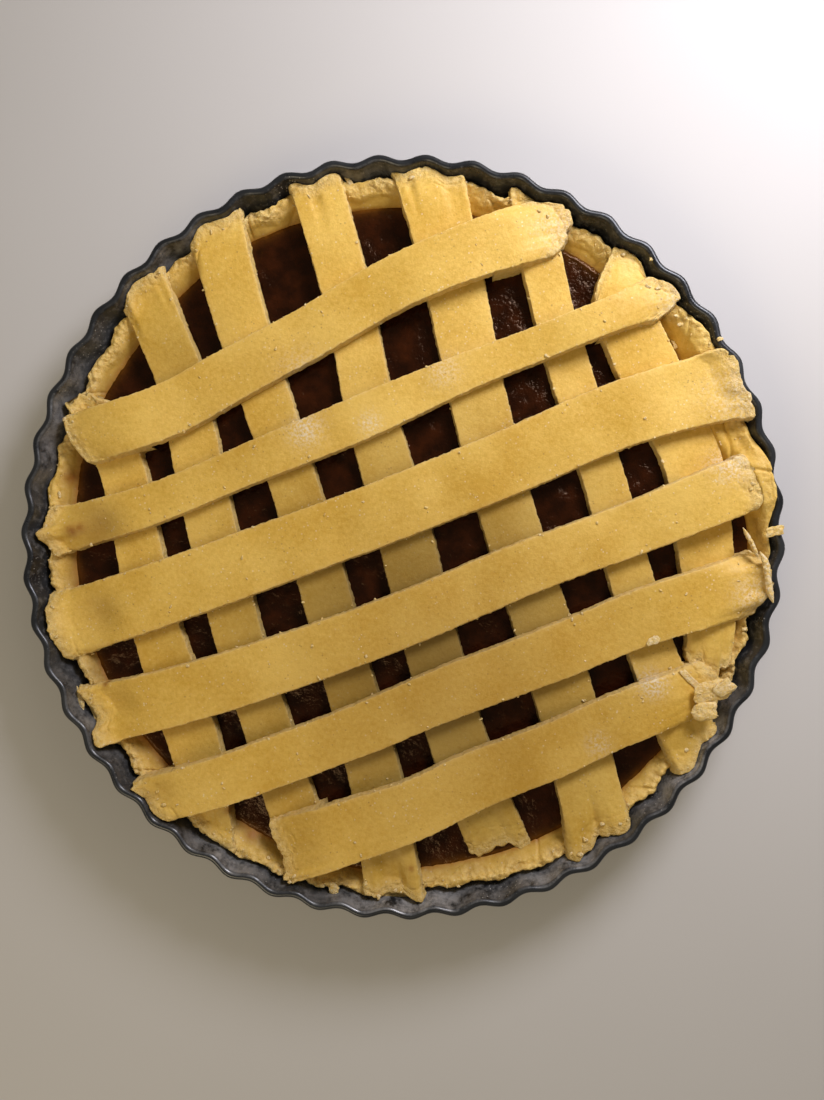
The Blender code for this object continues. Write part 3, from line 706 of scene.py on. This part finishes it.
def ground_heights(tree, spots, near):
    """Height of what lies under a strip's ends, filled in past its edge along the strip."""
    ground = np.full(spots.shape[:2], math.nan)
    for station, column in np.argwhere(near):
        ground[station, column] = drop_height(tree, *spots[station, column])
    stations = np.arange(len(ground))
    for column in range(ground.shape[1]):
        known = np.isfinite(ground[:, column])
        ground[:, column] = np.interp(stations, stations[known], ground[known, column])
    return ground


def strip_grid(row, lanes, seed):
    """Each lane's two ends, every grid point's share of the length, and the share of thickness it keeps."""
    length = math.dist(row["start"], row["end"])
    ends = [end_shares(row, at_end, lanes, seed) for at_end in (0, 1)]
    stations = station_shares((ends[1].mean() - ends[0].mean()) * length)
    between = ends[0] + (ends[1] - ends[0]) * stations[:, None]
    before = [ends[0] - reach / length for reach, _ in reversed(END_CAPS)]
    after = [ends[1] + reach / length for reach, _ in END_CAPS]
    keeps = [keep for _, keep in END_CAPS]
    keeps = np.concatenate((keeps[::-1], np.ones(len(stations)), keeps))
    return ends, np.vstack((before, between, after)), keeps


def strip_spots(row, shares, ring, pressed, seed):
    """Where the grid's points lie in plan, with crumbly cut sides, and the lefts and half widths there."""
    lanes, depths = ring[:, 0], ring[:, 1]
    middles, lefts, halves = strip_frames(row, shares)
    side = np.sign(lanes)
    length = math.dist(row["start"], row["end"])
    along = np.dstack((shares * length, np.broadcast_to(side * 60.0, shares.shape), np.zeros(shares.shape)))
    wobble = 0.22 * rough_noise(along, 16.0, 2, seed + 1) + 0.16 * rough_noise(along, 2.0, 2, seed + 2)
    wobble = wobble * (1.0 + 2.0 * pressed) - 0.4 * clamp(grains(along, 1.7, seed + 6) - 0.3)
    lateral = halves * lanes + wobble * side * np.abs(lanes) ** 10
    lateral = lateral + side * (np.abs(lanes) == 1.0) * 0.45 * (depths - 0.3)
    return middles + lefts * lateral[..., None], lefts, halves


def strip_climb(row, ends, lanes, shares):
    """How far the nearer end of each lane climbs the tin's wall."""
    low, high = CLIMB_RADII
    climbs = [clamp((lane_radius(row, end, lanes) - low) / (high - low)) * most
              for end, most in zip(ends, CLIMBS.get(row["name"], FULL_CLIMB))]
    return np.where(shares < 0.5, *climbs)


def strip_heights(row, layer, tree, grid, ring, spots, from_end, pressed, climb, halves):
    """Heights of the grid's points: the CAD strip's, sagging between supports and bedded down at its ends."""
    shares, keeps = grid
    lanes, depths = ring[:, 0], ring[:, 1]
    found, tops, unders = cad_heights(row)
    top = np.interp(shares, found, tops)
    under = np.interp(shares, found, unders) - layer["sink"]
    dip = sum(depth * np.exp(-((spots[..., 0] - x) ** 2 + (spots[..., 1] - y) ** 2) / reach ** 2)
              for x, y, reach, depth in DIPS)
    rise = eased(clamp(1.0 - from_end / CLIMB_LENGTH)) * climb
    top = top - dip * (1.0 - rise)
    laps = np.where(shares < 0.5, *OVERLAPS.get(row["name"], NO_OVERLAP)) > 0
    wall_top = layer["climb_height"] + LAP_LIFT * laps
    top = top + (wall_top - top) * rise - PRESS_DEPTH * pressed * (1.0 - climb)
    near = from_end < GROUND_REACH
    ground = ground_heights(tree, spots, near)
    hold = eased(clamp(1.0 - from_end / GROUND_REACH)) * (1.0 - climb)
    level = blurred(np.percentile(ground, 75, axis=1), 8)[:, None]
    most = np.where(shares < 0.5, *SUNK.get(row["name"], MOST_SUNK))
    top = top - hold * np.clip(top - level - END_THICKNESS, 0.0, most)
    top = np.where(near, np.maximum(top, level + 0.9), top)
    under = np.where(near, np.minimum(under, ground - 0.3), under)
    rounding = EDGE_ROUND * np.exp(-((1 - np.abs(lanes)) * halves / 0.4)) * (1.0 + 1.5 * pressed)
    height = top - rounding - (top - under - EDGE_ROUND) * depths
    centre = (top + under) / 2
    height = np.where(near & (depths > 0), np.maximum(height, ground - 0.6), height)
    height = centre + (height - centre) * keeps[:, None]
    return height - (1.0 - keeps[:, None]) * (centre - ground) * 0.8


def make_strip(row, seed, layer, material, tree):
    """A strip of rolled dough: flat top, crumbly cut sides and torn ends pressed into the rim."""
    ring = section()
    lanes = ring[:, 0]
    ends, shares, keeps = strip_grid(row, lanes, seed)
    from_end = np.minimum(shares - ends[0], ends[1] - shares) * math.dist(row["start"], row["end"])
    pressed = np.exp(-(np.clip(from_end, 0.0, None) / PRESS_LENGTH) ** 2)
    spots, lefts, halves = strip_spots(row, shares, ring, pressed, seed)
    climb = strip_climb(row, ends, lanes, shares)
    height = strip_heights(row, layer, tree, (shares, keeps), ring, spots, from_end, pressed, climb, halves)
    solid = np.dstack((spots, height)).reshape(-1, 3)
    depth = np.tile(ring[:, 1], len(keeps))
    press = pressed.reshape(-1)
    lift = (0.22 * rough_noise(solid, 15.0, 2, seed + 3) + 0.05 * rough_noise(solid, 3.0, 2, seed + 4)
            + press * (0.7 * rough_noise(solid, 5.5, 2, seed + 5)
                       + 0.6 * (grains(solid, 2.2, seed + 7) - 0.4))
            - 0.6 * clamp(press * 2.0) * cracks(solid, 7.0, seed + 9))
    solid[:, 2] += lift * (depth == 0.0)
    crumbs = 0.5 * (grains(solid, 1.5, seed + 8) - 0.4) * ((depth > 0) & (depth < 1))
    outwards = (lefts * np.broadcast_to(np.sign(lanes), halves.shape)[..., None]).reshape(-1, 2)
    solid[:, :2] += outwards * crumbs[:, None]
    solid = inside_tin(solid)
    edge = np.exp(-((1 - np.abs(lanes)) * halves / 0.5)).reshape(-1)
    crumb = clamp(np.maximum(edge * 0.7, (depth > 0) * 0.9) + 0.9 * press ** 3)
    # painted shade in the pits of the pressed ends, together with the soft spots of painted shade
    pits = np.clip(0.5 - grains(solid, 2.2, seed + 7), 0.0, 0.5) * press
    shade = np.maximum(strongest(solid, layer["shade"]), pits * 0.5)
    return add_piece(row["name"] + "_dough", solid, tube_faces(len(keeps), len(ring)), material,
                     row["name"],
                     {"stain": strongest(solid, SMEARS[1:]), "flour": strongest(solid, FLOUR_AND_LIGHT_SPOTS),
                      "crumb": crumb, "shade": shade})


# x, y, reach and strength of the painted shade: soft spots where the dough is coloured darker for the shadow
# in the lattice's cells, in the sags at the strips' left ends and over the lower middle
UNDER_PAINTED_SHADE = ((12.0, -42.0, 86.0, 0.82), (-78.0, 66.0, 24.0, 0.32))
TOP_PAINTED_SHADE = (
    (28.0, -56.0, 74.0, 0.44), (-112.0, 4.0, 10.0, 0.6), (-112.0, -29.0, 8.0, 0.3), (-90.0, -95.0, 7.0, 0.3),
    (-45.0, 45.0, 45.0, 0.14),
)
FLOUR_AND_LIGHT_SPOTS = (
    # x, y, reach and strength of the floury places; the three at 105, 87 and 124, 52 and 60, 112 on the
    # brightest strip ends are whiter for flour and for painted light
    (-33.0, 41.0, 6.0, 0.7), (-9.0, 43.0, 4.0, 0.5), (120.0, 27.0, 6.0, 0.6), (93.0, -52.0, 4.5, 0.8),
    (74.0, -74.0, 4.0, 0.5), (-34.0, 62.0, 8.0, 0.3), (18.0, 62.0, 6.0, 0.35), (105.0, 87.0, 10.0, 0.45),
    (124.0, 52.0, 11.0, 0.4), (60.0, 112.0, 9.0, 0.35), (129.0, -20.0, 7.0, 0.4),
)
UNDER = dict(slot="under_dough", sink=0.9, climb_height=25.2, shade=UNDER_PAINTED_SHADE)
TOP = dict(slot="top_dough", sink=0.1, climb_height=27.0, shade=TOP_PAINTED_SHADE)


# ---------------------------------------------------------------- torn bits

FLAKES = (
    # x, y, length, width, thickness, degrees
    (-17.5, 133.0, 8.0, 2.2, 1.6, -62), (106.5, -49.5, 8.5, 2.6, 1.2, -48),
    (93.6, -36.2, 4.2, 3.2, 0.8, 80), (-23.0, -130.5, 5.0, 3.5, 1.4, -30),
    (118.0, -52.0, 7.0, 5.0, 1.8, 40), (118.5, -58.0, 5.5, 4.0, 1.6, -60),
    (121.5, -53.5, 4.0, 3.0, 1.4, 10), (-120.5, -60.5, 8.0, 2.4, 1.4, -68),
    (116.0, 71.5, 2.0, 1.3, 0.7, 20), (102.5, 72.0, 3.2, 1.6, 0.9, -70), (92.0, 100.5, 1.8, 1.2, 0.7, 50),
)
BLOB_LEVELS = 4
CRUMB_LEVELS = 2
CRUMB_REACH = 134.5


def ball(levels):
    """Points and faces of an even unit sphere."""
    shape = bmesh.new()
    bmesh.ops.create_icosphere(shape, subdivisions=levels, radius=1.0)
    points = np.array([vertex.co[:] for vertex in shape.verts])
    faces = [tuple(vertex.index for vertex in face.verts) for face in shape.faces]
    shape.free()
    return points, faces


def blob(shape, place, size, degrees, seed, rough=0.22):
    """An uneven torn lump: a sphere flattened on top, made angular, stretched, turned and roughened."""
    outline = 1 + 1.3 * rough * value_noise(shape * (1.0, 1.0, 0.0), 0.9, seed + 3)
    swell = 1 + rough * rough_noise(shape, 0.7, 3, seed) + 0.5 * rough * grains(shape, 0.6, seed + 1)
    grown = shape * swell[:, None] * np.column_stack((outline, outline, np.ones(len(shape))))
    grown[:, 2] = np.clip(grown[:, 2], -0.8, 0.75 + 0.3 * rough_noise(shape, 0.9, 2, seed + 2))
    grown = grown * (np.array(size) / 2)
    turn = math.radians(degrees)
    x = grown[:, 0] * math.cos(turn) - grown[:, 1] * math.sin(turn)
    y = grown[:, 0] * math.sin(turn) + grown[:, 1] * math.cos(turn)
    return np.column_stack((x, y, grown[:, 2])) + place


def surface_tree(pieces):
    """Search tree over the finished pieces."""
    points, faces = [], []
    for piece in pieces:
        base = len(points)
        points += [vertex.co[:] for vertex in piece.data.vertices]
        faces += [tuple(number + base for number in face.vertices) for face in piece.data.polygons]
    return BVHTree.FromPolygons(points, faces)


def add_torn(name, points, faces, material, node, flour, crumb):
    """A piece of torn dough that is evenly floury and crumbly."""
    count = len(points)
    add_piece(name, points, faces, material, node,
              {"stain": np.zeros(count), "flour": np.full(count, flour), "crumb": np.full(count, crumb)})


def make_bit(node, material, seed):
    """A torn bit of dough in the place and size of its solid."""
    spots = cad_points(node)
    low, high = spots.min(axis=0), spots.max(axis=0)
    middle = spots.mean(axis=0)
    spread = np.linalg.eigh(np.cov((spots - middle)[:, :2].T))
    side, along = spread[1].T
    size = [np.ptp(spots[:, :2] @ along), np.ptp(spots[:, :2] @ side), high[2] - low[2]]
    shape, faces = ball(BLOB_LEVELS)
    points = blob(shape, (low + high) / 2, size, math.degrees(math.atan2(along[1], along[0])), seed)
    points[:, 2] += 0.45 * (grains(points, 1.6, seed) - 0.4)
    add_torn(node + "_torn", points, faces, material, node, 0.2, 0.7)


BITS = ("dough_scrap_1", "dough_lump_1", "dough_lump_2")
SHREDS = (
    # node, points along the middle, width
    ("dough_shred_1", ((124.9, 4.7), (126.4, 2.0), (127.8, -0.5), (129.0, -3.2), (130.3, -5.9)), 1.5),
    ("dough_shred_2",
     ((130.2, -3.9), (131.8, -6.6), (132.6, -10.0), (133.3, -14.6), (134.0, -18.6), (135.0, -22.0)), 2.4),
)
SHRED_SIDES = 14
SHRED_ROWS = 60


def make_shred(node, path, width, material, seed):
    """A thin curved shred of dough that tapers to both ends."""
    heights = cad_points(node)[:, 2]
    shares = np.linspace(0.0, 1.0, SHRED_ROWS)
    x, y = (smooth_value([point[axis] for point in path], shares) for axis in (0, 1))
    direction = np.column_stack((np.gradient(x), np.gradient(y)))
    direction /= np.linalg.norm(direction, axis=1)[:, None]
    left = np.column_stack((-direction[:, 1], direction[:, 0]))
    taper = np.clip(np.minimum(shares / 0.25, (1.0 - shares) / 0.18), 0.06, 1.0) ** 0.6
    angles = np.arange(SHRED_SIDES) * math.tau / SHRED_SIDES
    shape = (SHRED_ROWS, SHRED_SIDES)
    skin = np.dstack([np.broadcast_to(values, shape) for values in
                      (shares[:, None] * 20, np.cos(angles) * 1.5, np.sin(angles) * 1.5)])
    half = width / 2 * taper[:, None] * (1 + 0.2 * value_noise(skin, 1.0, seed))
    sideways = half * np.cos(angles)
    upwards = half * np.sin(angles) * np.ptp(heights) / width
    middle = (heights.max() + heights.min()) / 2
    points = np.dstack((x[:, None] + left[:, :1] * sideways, y[:, None] + left[:, 1:] * sideways,
                        middle + upwards)).reshape(-1, 3)
    add_torn(node + "_torn", points, tube_faces(SHRED_ROWS, SHRED_SIDES), material, node, 0.5, 0.8)


EDGE_CRUMBS = 520
RIM_CRUMBS = 110


def crumb_places(generator):
    """Where loose crumbs lie: along the strips' cut edges, where they shed most, and round the rim."""
    places = []
    for row in TOP_STRIPS + UNDER_STRIPS:
        amount = EDGE_CRUMBS // len(TOP_STRIPS + UNDER_STRIPS)
        shares = generator.random(amount)
        middles, lefts, halves = strip_frames(row, shares)
        side = np.where(generator.random(amount) < 0.5, 1.0, -1.0)
        off = halves * side * (1.0 + generator.normal(0.0, 0.06, amount))
        places += [(*spot, size) for spot, size in
                   zip(middles + lefts * off[:, None], 0.35 + 0.5 * generator.random(amount) ** 2)]
    turns = generator.random(RIM_CRUMBS) * math.tau
    reach = 128.5 + 5.0 * generator.random(RIM_CRUMBS)
    places += [(radius * math.cos(turn), radius * math.sin(turn), size) for radius, turn, size in
               zip(reach, turns, 0.5 + 0.9 * generator.random(RIM_CRUMBS) ** 2)]
    return places


def make_crumbs(tree, material):
    """Loose crumbs and small torn flakes, joined in one mesh."""
    generator = np.random.default_rng(7)
    points, faces = [], []

    def drop(shape, shape_faces, x, y, size, degrees, seed):
        height = drop_height(tree, x, y)
        if math.isnan(height) or height < JAM_TOP + 1.2:
            return
        base = sum(len(group) for group in points)
        points.append(blob(shape, (x, y, height + size[2] * 0.3), size, degrees, seed, 0.3))
        faces.extend(tuple(number + base for number in face) for face in shape_faces)

    shape, shape_faces = ball(3)
    for number, (x, y, length, width, thick, degrees) in enumerate(FLAKES):
        drop(shape, shape_faces, x, y, (length, width, thick), degrees, 700 + number)
    shape, shape_faces = ball(CRUMB_LEVELS)
    places = [place for place in crumb_places(generator) if math.hypot(*place[:2]) < CRUMB_REACH]
    for number, (x, y, size) in enumerate(places):
        stretch = 0.7 + 0.8 * generator.random(2)
        drop(shape, shape_faces, x, y, (size * stretch[0] * 1.3, size * stretch[1], size * 0.75),
             generator.random() * 180, 900 + number)
    add_torn("loose_crumbs", np.vstack(points), faces, material, None, 0.3, 1.0)


# ---------------------------------------------------------------- materials

class Nodes:
    """A material's node tree, built one node at a time."""

    def __init__(self, name):
        self.material = bpy.data.materials.new(name)
        self.material.use_nodes = True
        self.tree = self.material.node_tree
        self.shader = self.tree.nodes["Principled BSDF"]
        self.place = self.add("ShaderNodeTexCoord").outputs["Object"]

    def add(self, kind, **settings):
        made = self.tree.nodes.new(kind)
        for key, value in settings.items():
            setattr(made, key, value)
        return made

    def join(self, source, target):
        self.tree.links.new(source, target)

    def noise(self, scale, detail=3.0, roughness=0.55):
        made = self.add("ShaderNodeTexNoise")
        made.inputs["Scale"].default_value = scale
        made.inputs["Detail"].default_value = detail
        made.inputs["Roughness"].default_value = roughness
        self.join(self.place, made.inputs["Vector"])
        return made.outputs["Fac"]

    def patches(self, noise, low, high, out_low=0.0, out_high=1.0):
        """Noise of the given scale, detail and roughness, drawn out between two of its levels."""
        return self.range(self.noise(*noise), low, high, out_low, out_high)

    def specks(self, scale, size):
        """1 in small dots, 0 between them."""
        made = self.add("ShaderNodeTexVoronoi")
        made.inputs["Scale"].default_value = scale
        self.join(self.place, made.inputs["Vector"])
        return self.range(made.outputs["Distance"], size, size * 0.55)

    def range(self, value, low, high, out_low=0.0, out_high=1.0):
        made = self.add("ShaderNodeMapRange")
        made.inputs["From Min"].default_value = low
        made.inputs["From Max"].default_value = high
        made.inputs["To Min"].default_value = out_low
        made.inputs["To Max"].default_value = out_high
        self.join(value, made.inputs["Value"])
        return made.outputs["Result"]

    def math(self, operation, first, second):
        made = self.add("ShaderNodeMath", operation=operation)
        for socket, value in zip(made.inputs, (first, second)):
            if isinstance(value, float):
                socket.default_value = value
            else:
                self.join(value, socket)
        return made.outputs[0]

    def times(self, first, second):
        return self.math("MULTIPLY", first, second)

    def plus(self, first, second):
        return self.math("ADD", first, second)

    def mix(self, share, first, second):
        """One colour laid over another; a share or colour is an output, a number or a tuple."""
        made = self.add("ShaderNodeMix", data_type="RGBA")
        for label, value in (("Factor", share), ("A", first), ("B", second)):
            socket = made.inputs[label]
            if isinstance(value, tuple):
                socket.default_value = (*value, 1.0)
            elif isinstance(value, float):
                socket.default_value = value
            else:
                self.join(value, socket)
        return made.outputs["Result"]

    def attribute(self, label):
        return self.add("ShaderNodeAttribute", attribute_name=label).outputs["Fac"]

    def bump(self, heights, distance, strength):
        made = self.add("ShaderNodeBump")
        made.inputs["Distance"].default_value = distance
        made.inputs["Strength"].default_value = strength
        self.join(heights, made.inputs["Height"])
        self.join(made.outputs["Normal"], self.shader.inputs["Normal"])

    def colour(self, value):
        self.join(value, self.shader.inputs["Base Color"])

    def gloss(self, value):
        self.join(value, self.shader.inputs["Roughness"])

    def set(self, **values):
        for label, value in values.items():
            self.shader.inputs[label.replace("_", " ")].default_value = value


DEEP_DOUGH = (0.63, 0.372, 0.047)
PALE_DOUGH = (0.80, 0.530, 0.115)
CUT_DOUGH = (0.83, 0.63, 0.29)
DARK_SPECK = (0.30, 0.16, 0.05)
PALE_SPECK = (0.88, 0.78, 0.54)
FLOUR = (0.86, 0.80, 0.66)
DAMP_SHADE_BROWN = (0.19, 0.095, 0.013)
JAM_STAIN = (0.32, 0.13, 0.014)
# colours that the painted shade mixes towards: a saturated ochre for the top strips and the shell, a duller
# brown for the under strips
TOP_SHADE_TINT = (0.19, 0.072, 0.0)
UNDER_SHADE_TINT = (0.105, 0.058, 0.006)
SHELL_BRIGHTNESS = 1.0
# painted light: the under strips' copy of the dough is made a little lighter, and their painted shade darkens
# it again in the lower middle
UNDER_BRIGHTNESS = 1.06
TOP_BRIGHTNESS = 1.0


def dough_material(name, brightness, shade_tint=TOP_SHADE_TINT):
    """Raw shortcrust: butter yellow, mottled, crumbly where cut or torn, with flour dust and jam stains,
    darkened by painted shade, and on the shell damp and darkened by painted shade near the jam.
    """
    look = Nodes(name)

    def lit(colour):
        return tuple(value * brightness for value in colour)

    mottle = look.plus(look.times(look.noise(34.0, 4.0), 0.6), look.times(look.noise(700.0, 4.0, 0.7), 0.4))
    base = look.mix(look.range(mottle, 0.38, 0.6), lit(DEEP_DOUGH), lit(PALE_DOUGH))
    rough = look.times(look.attribute("crumb"), look.patches((700.0,), 0.3, 0.65, 0.25, 1.0))
    base = look.mix(look.times(rough, 0.75), base, lit(CUT_DOUGH))
    dark = look.times(look.specks(430.0, 0.17), look.patches((90.0,), 0.46, 0.6))
    base = look.mix(look.times(dark, 0.5), base, DARK_SPECK)
    pale = look.times(look.specks(520.0, 0.2), look.patches((120.0,), 0.46, 0.6))
    base = look.mix(look.times(pale, 0.55), base, PALE_SPECK)
    base = look.mix(look.times(look.attribute("flour"), look.patches((1100.0, 4.0), 0.42, 0.6)), base, FLOUR)
    # painted shade: the colour is mixed towards the shade tint where the shade attribute is high
    base = look.mix(look.attribute("shade"), base, shade_tint)
    # damp dough and painted shade near the jam, on the shell
    base = look.mix(look.times(look.attribute("damp_and_shade"), 0.92), base, DAMP_SHADE_BROWN)
    soaked = look.times(look.attribute("stain"), look.patches((330.0,), 0.2, 0.55, 0.55, 1.0))
    look.colour(look.mix(soaked, base, JAM_STAIN))
    grain = look.plus(look.times(look.noise(1700.0, 2.0), 0.4), look.noise(620.0, 4.0))
    torn = look.times(look.attribute("crumb"), look.patches((900.0, 4.0, 0.65), 0.25, 0.75, 0.0, 3.0))
    look.bump(look.plus(grain, torn), 0.0003, 0.65)
    look.gloss(look.patches((160.0,), 0.3, 0.7, 0.48, 0.64))
    look.set(Subsurface_Weight=0.14, Subsurface_Radius=(1.0, 0.75, 0.35), Subsurface_Scale=0.0014,
             Specular_IOR_Level=0.32)
    return look.material


JAM_DEEP = (0.013, 0.0032, 0.0012)
JAM_LIT = (0.036, 0.0085, 0.0022)
JAM_THIN = (0.13, 0.047, 0.005)


def jam_material():
    """Dark set jam: nearly black brown where deep, amber where thin, moist and lumpy."""
    look = Nodes("jam_look")
    body = look.mix(look.patches((130.0,), 0.4, 0.7), JAM_DEEP, JAM_LIT)
    edge = look.times(look.attribute("thin"), look.patches((210.0,), 0.3, 0.6, 0.4, 1.0))
    look.colour(look.mix(edge, body, JAM_THIN))
    look.bump(look.plus(look.noise(260.0, 4.0, 0.6), look.times(look.noise(900.0, 2.0), 0.15)), 0.0013, 0.6)
    look.gloss(look.patches((240.0, 2.0), 0.35, 0.7, 0.07, 0.16))
    look.set(Specular_IOR_Level=0.24, Specular_Tint=(1.0, 0.66, 0.42, 1.0))
    return look.material


COATING = (0.012, 0.013, 0.015)
WORN_COATING = (0.026, 0.028, 0.030)
FAT_FILM = (0.24, 0.235, 0.225)
TIN_DUST = (0.40, 0.39, 0.375)
TIN_SPECK = (0.62, 0.59, 0.53)


def tin_material():
    """Dark non-stick coating on steel, scuffed, with fat and flour left on its inner wall."""
    look = Nodes("tin_look")
    inside = look.attribute("inside")
    coat = look.mix(look.patches((60.0, 4.0), 0.35, 0.7), COATING, WORN_COATING)
    film = look.times(inside, look.patches((420.0, 5.0, 0.7), 0.5, 0.72))
    coat = look.mix(look.times(film, 0.5), coat, FAT_FILM)
    floury = look.times(look.attribute("floury"), look.patches((190.0, 5.0, 0.7), 0.36, 0.6))
    coat = look.mix(floury, coat, TIN_DUST)
    dust = look.times(inside, look.times(look.specks(700.0, 0.2), look.patches((45.0, 2.0), 0.52, 0.66)))
    look.colour(look.mix(look.times(dust, 0.6), coat, TIN_SPECK))
    look.bump(look.noise(900.0, 3.0), 0.00006, 0.5)
    look.gloss(look.patches((120.0, 4.0), 0.3, 0.7, 0.24, 0.4))
    look.set(Metallic=0.2, Specular_IOR_Level=0.55)
    return look.material


FLOOR_DARK = (0.56, 0.54, 0.515)
FLOOR_LIGHT = (0.60, 0.58, 0.555)


def floor_material():
    """Plain pale matte floor."""
    look = Nodes("floor_look")
    look.colour(look.mix(look.noise(6.0), FLOOR_DARK, FLOOR_LIGHT))
    look.set(Roughness=0.8, Specular_IOR_Level=0.2)
    return look.material


# ---------------------------------------------------------------- setting

CAMERA_PLACE = (23.65, 3.45, 347.2)
CAMERA_AIM = (-0.05344, -0.02159, -0.99834)
CAMERA_LENS = 28.76
SENSOR_WIDTH = 36.0
STUDIO_COLOUR = (1.0, 0.93, 0.8, 1.0)
STUDIO_STRENGTH = 0.2
LIGHTS = (
    # name, place, what it points at, size, power, colour
    ("key", (0.22, 0.29, 0.27), (0.02, 0.02, 0.0), 0.16, 1.75, (0.99, 0.98, 1.1)),
    ("fill", (0.35, 0.75, 0.65), (0.0, 0.0, 0.0), 0.5, 1.05, (1.0, 0.91, 0.74)),
    ("side", (-0.42, -0.68, 0.75), (-0.08, -0.1, 0.0), 0.5, 3.0, (1.0, 0.84, 0.56)),
)
FLOOR_REACH = 3.0


def aim(thing, direction, upward=(0.0, 1.0, 0.0)):
    """Turn a camera or light so that it looks along a direction with its top towards upward."""
    back = -Vector(direction).normalized()
    right = Vector(upward).cross(back).normalized()
    top = back.cross(right)
    thing.rotation_mode = "QUATERNION"
    thing.rotation_quaternion = Matrix((right, top, back)).transposed().to_quaternion()


def make_camera():
    """The photo's camera, as solved from the tin's rim."""
    data = bpy.data.cameras.new("camera")
    data.sensor_width = SENSOR_WIDTH
    data.lens = CAMERA_LENS
    data.clip_start = 0.01
    camera = add_object("camera", data)
    camera.location = [value * MM for value in CAMERA_PLACE]
    aim(camera, CAMERA_AIM)
    bpy.context.scene.camera = camera


def add_light(name, place, target, size, power, colour):
    """A round lamp that points at a target."""
    data = bpy.data.lights.new(name, "AREA")
    data.shape = "DISK"
    data.size = size
    data.energy = power
    data.color = colour
    light = add_object(name, data)
    light.location = place
    aim(light, Vector(target) - Vector(place), (0.3, 1.0, 0.2))


def make_setting():
    """Studio light and the floor."""
    world = bpy.data.worlds.new("studio")
    world.use_nodes = True
    background = world.node_tree.nodes["Background"]
    background.inputs["Color"].default_value = STUDIO_COLOUR
    background.inputs["Strength"].default_value = STUDIO_STRENGTH
    bpy.context.scene.world = world
    for row in LIGHTS:
        add_light(*row)
    mesh = bpy.data.meshes.new("floor")
    corners = [(x * FLOOR_REACH, y * FLOOR_REACH, 0) for x, y in ((-1, -1), (1, -1), (1, 1), (-1, 1))]
    mesh.from_pydata(corners, [], [(0, 1, 2, 3)])
    mesh.materials.append(floor_material())
    floor = add_object("floor", mesh)


def main():
    bpy.context.scene.view_settings.view_transform = "Standard"
    make_camera()
    make_setting()
    make_tin()
    scan = scan_shell()
    shell = make_shell(scan)
    make_jam(scan)
    under_look = dough_material("under_dough_look", UNDER_BRIGHTNESS, UNDER_SHADE_TINT)
    top_look = dough_material("top_dough_look", TOP_BRIGHTNESS)
    tree = surface_tree([shell])
    strips = [make_strip(row, 100 + 20 * number, UNDER, under_look, tree)
              for number, row in enumerate(UNDER_STRIPS)]
    tree = surface_tree([shell, *strips])
    for number, row in enumerate(TOP_STRIPS):
        make_strip(row, 300 + 20 * number, TOP, top_look, tree)
    for number, node in enumerate(BITS):
        make_bit(node, top_look, 500 + 10 * number)
    for number, (node, path, width) in enumerate(SHREDS):
        make_shred(node, path, width, top_look, 560 + number)
    make_crumbs(surface_tree(PIECES), top_look)


main()
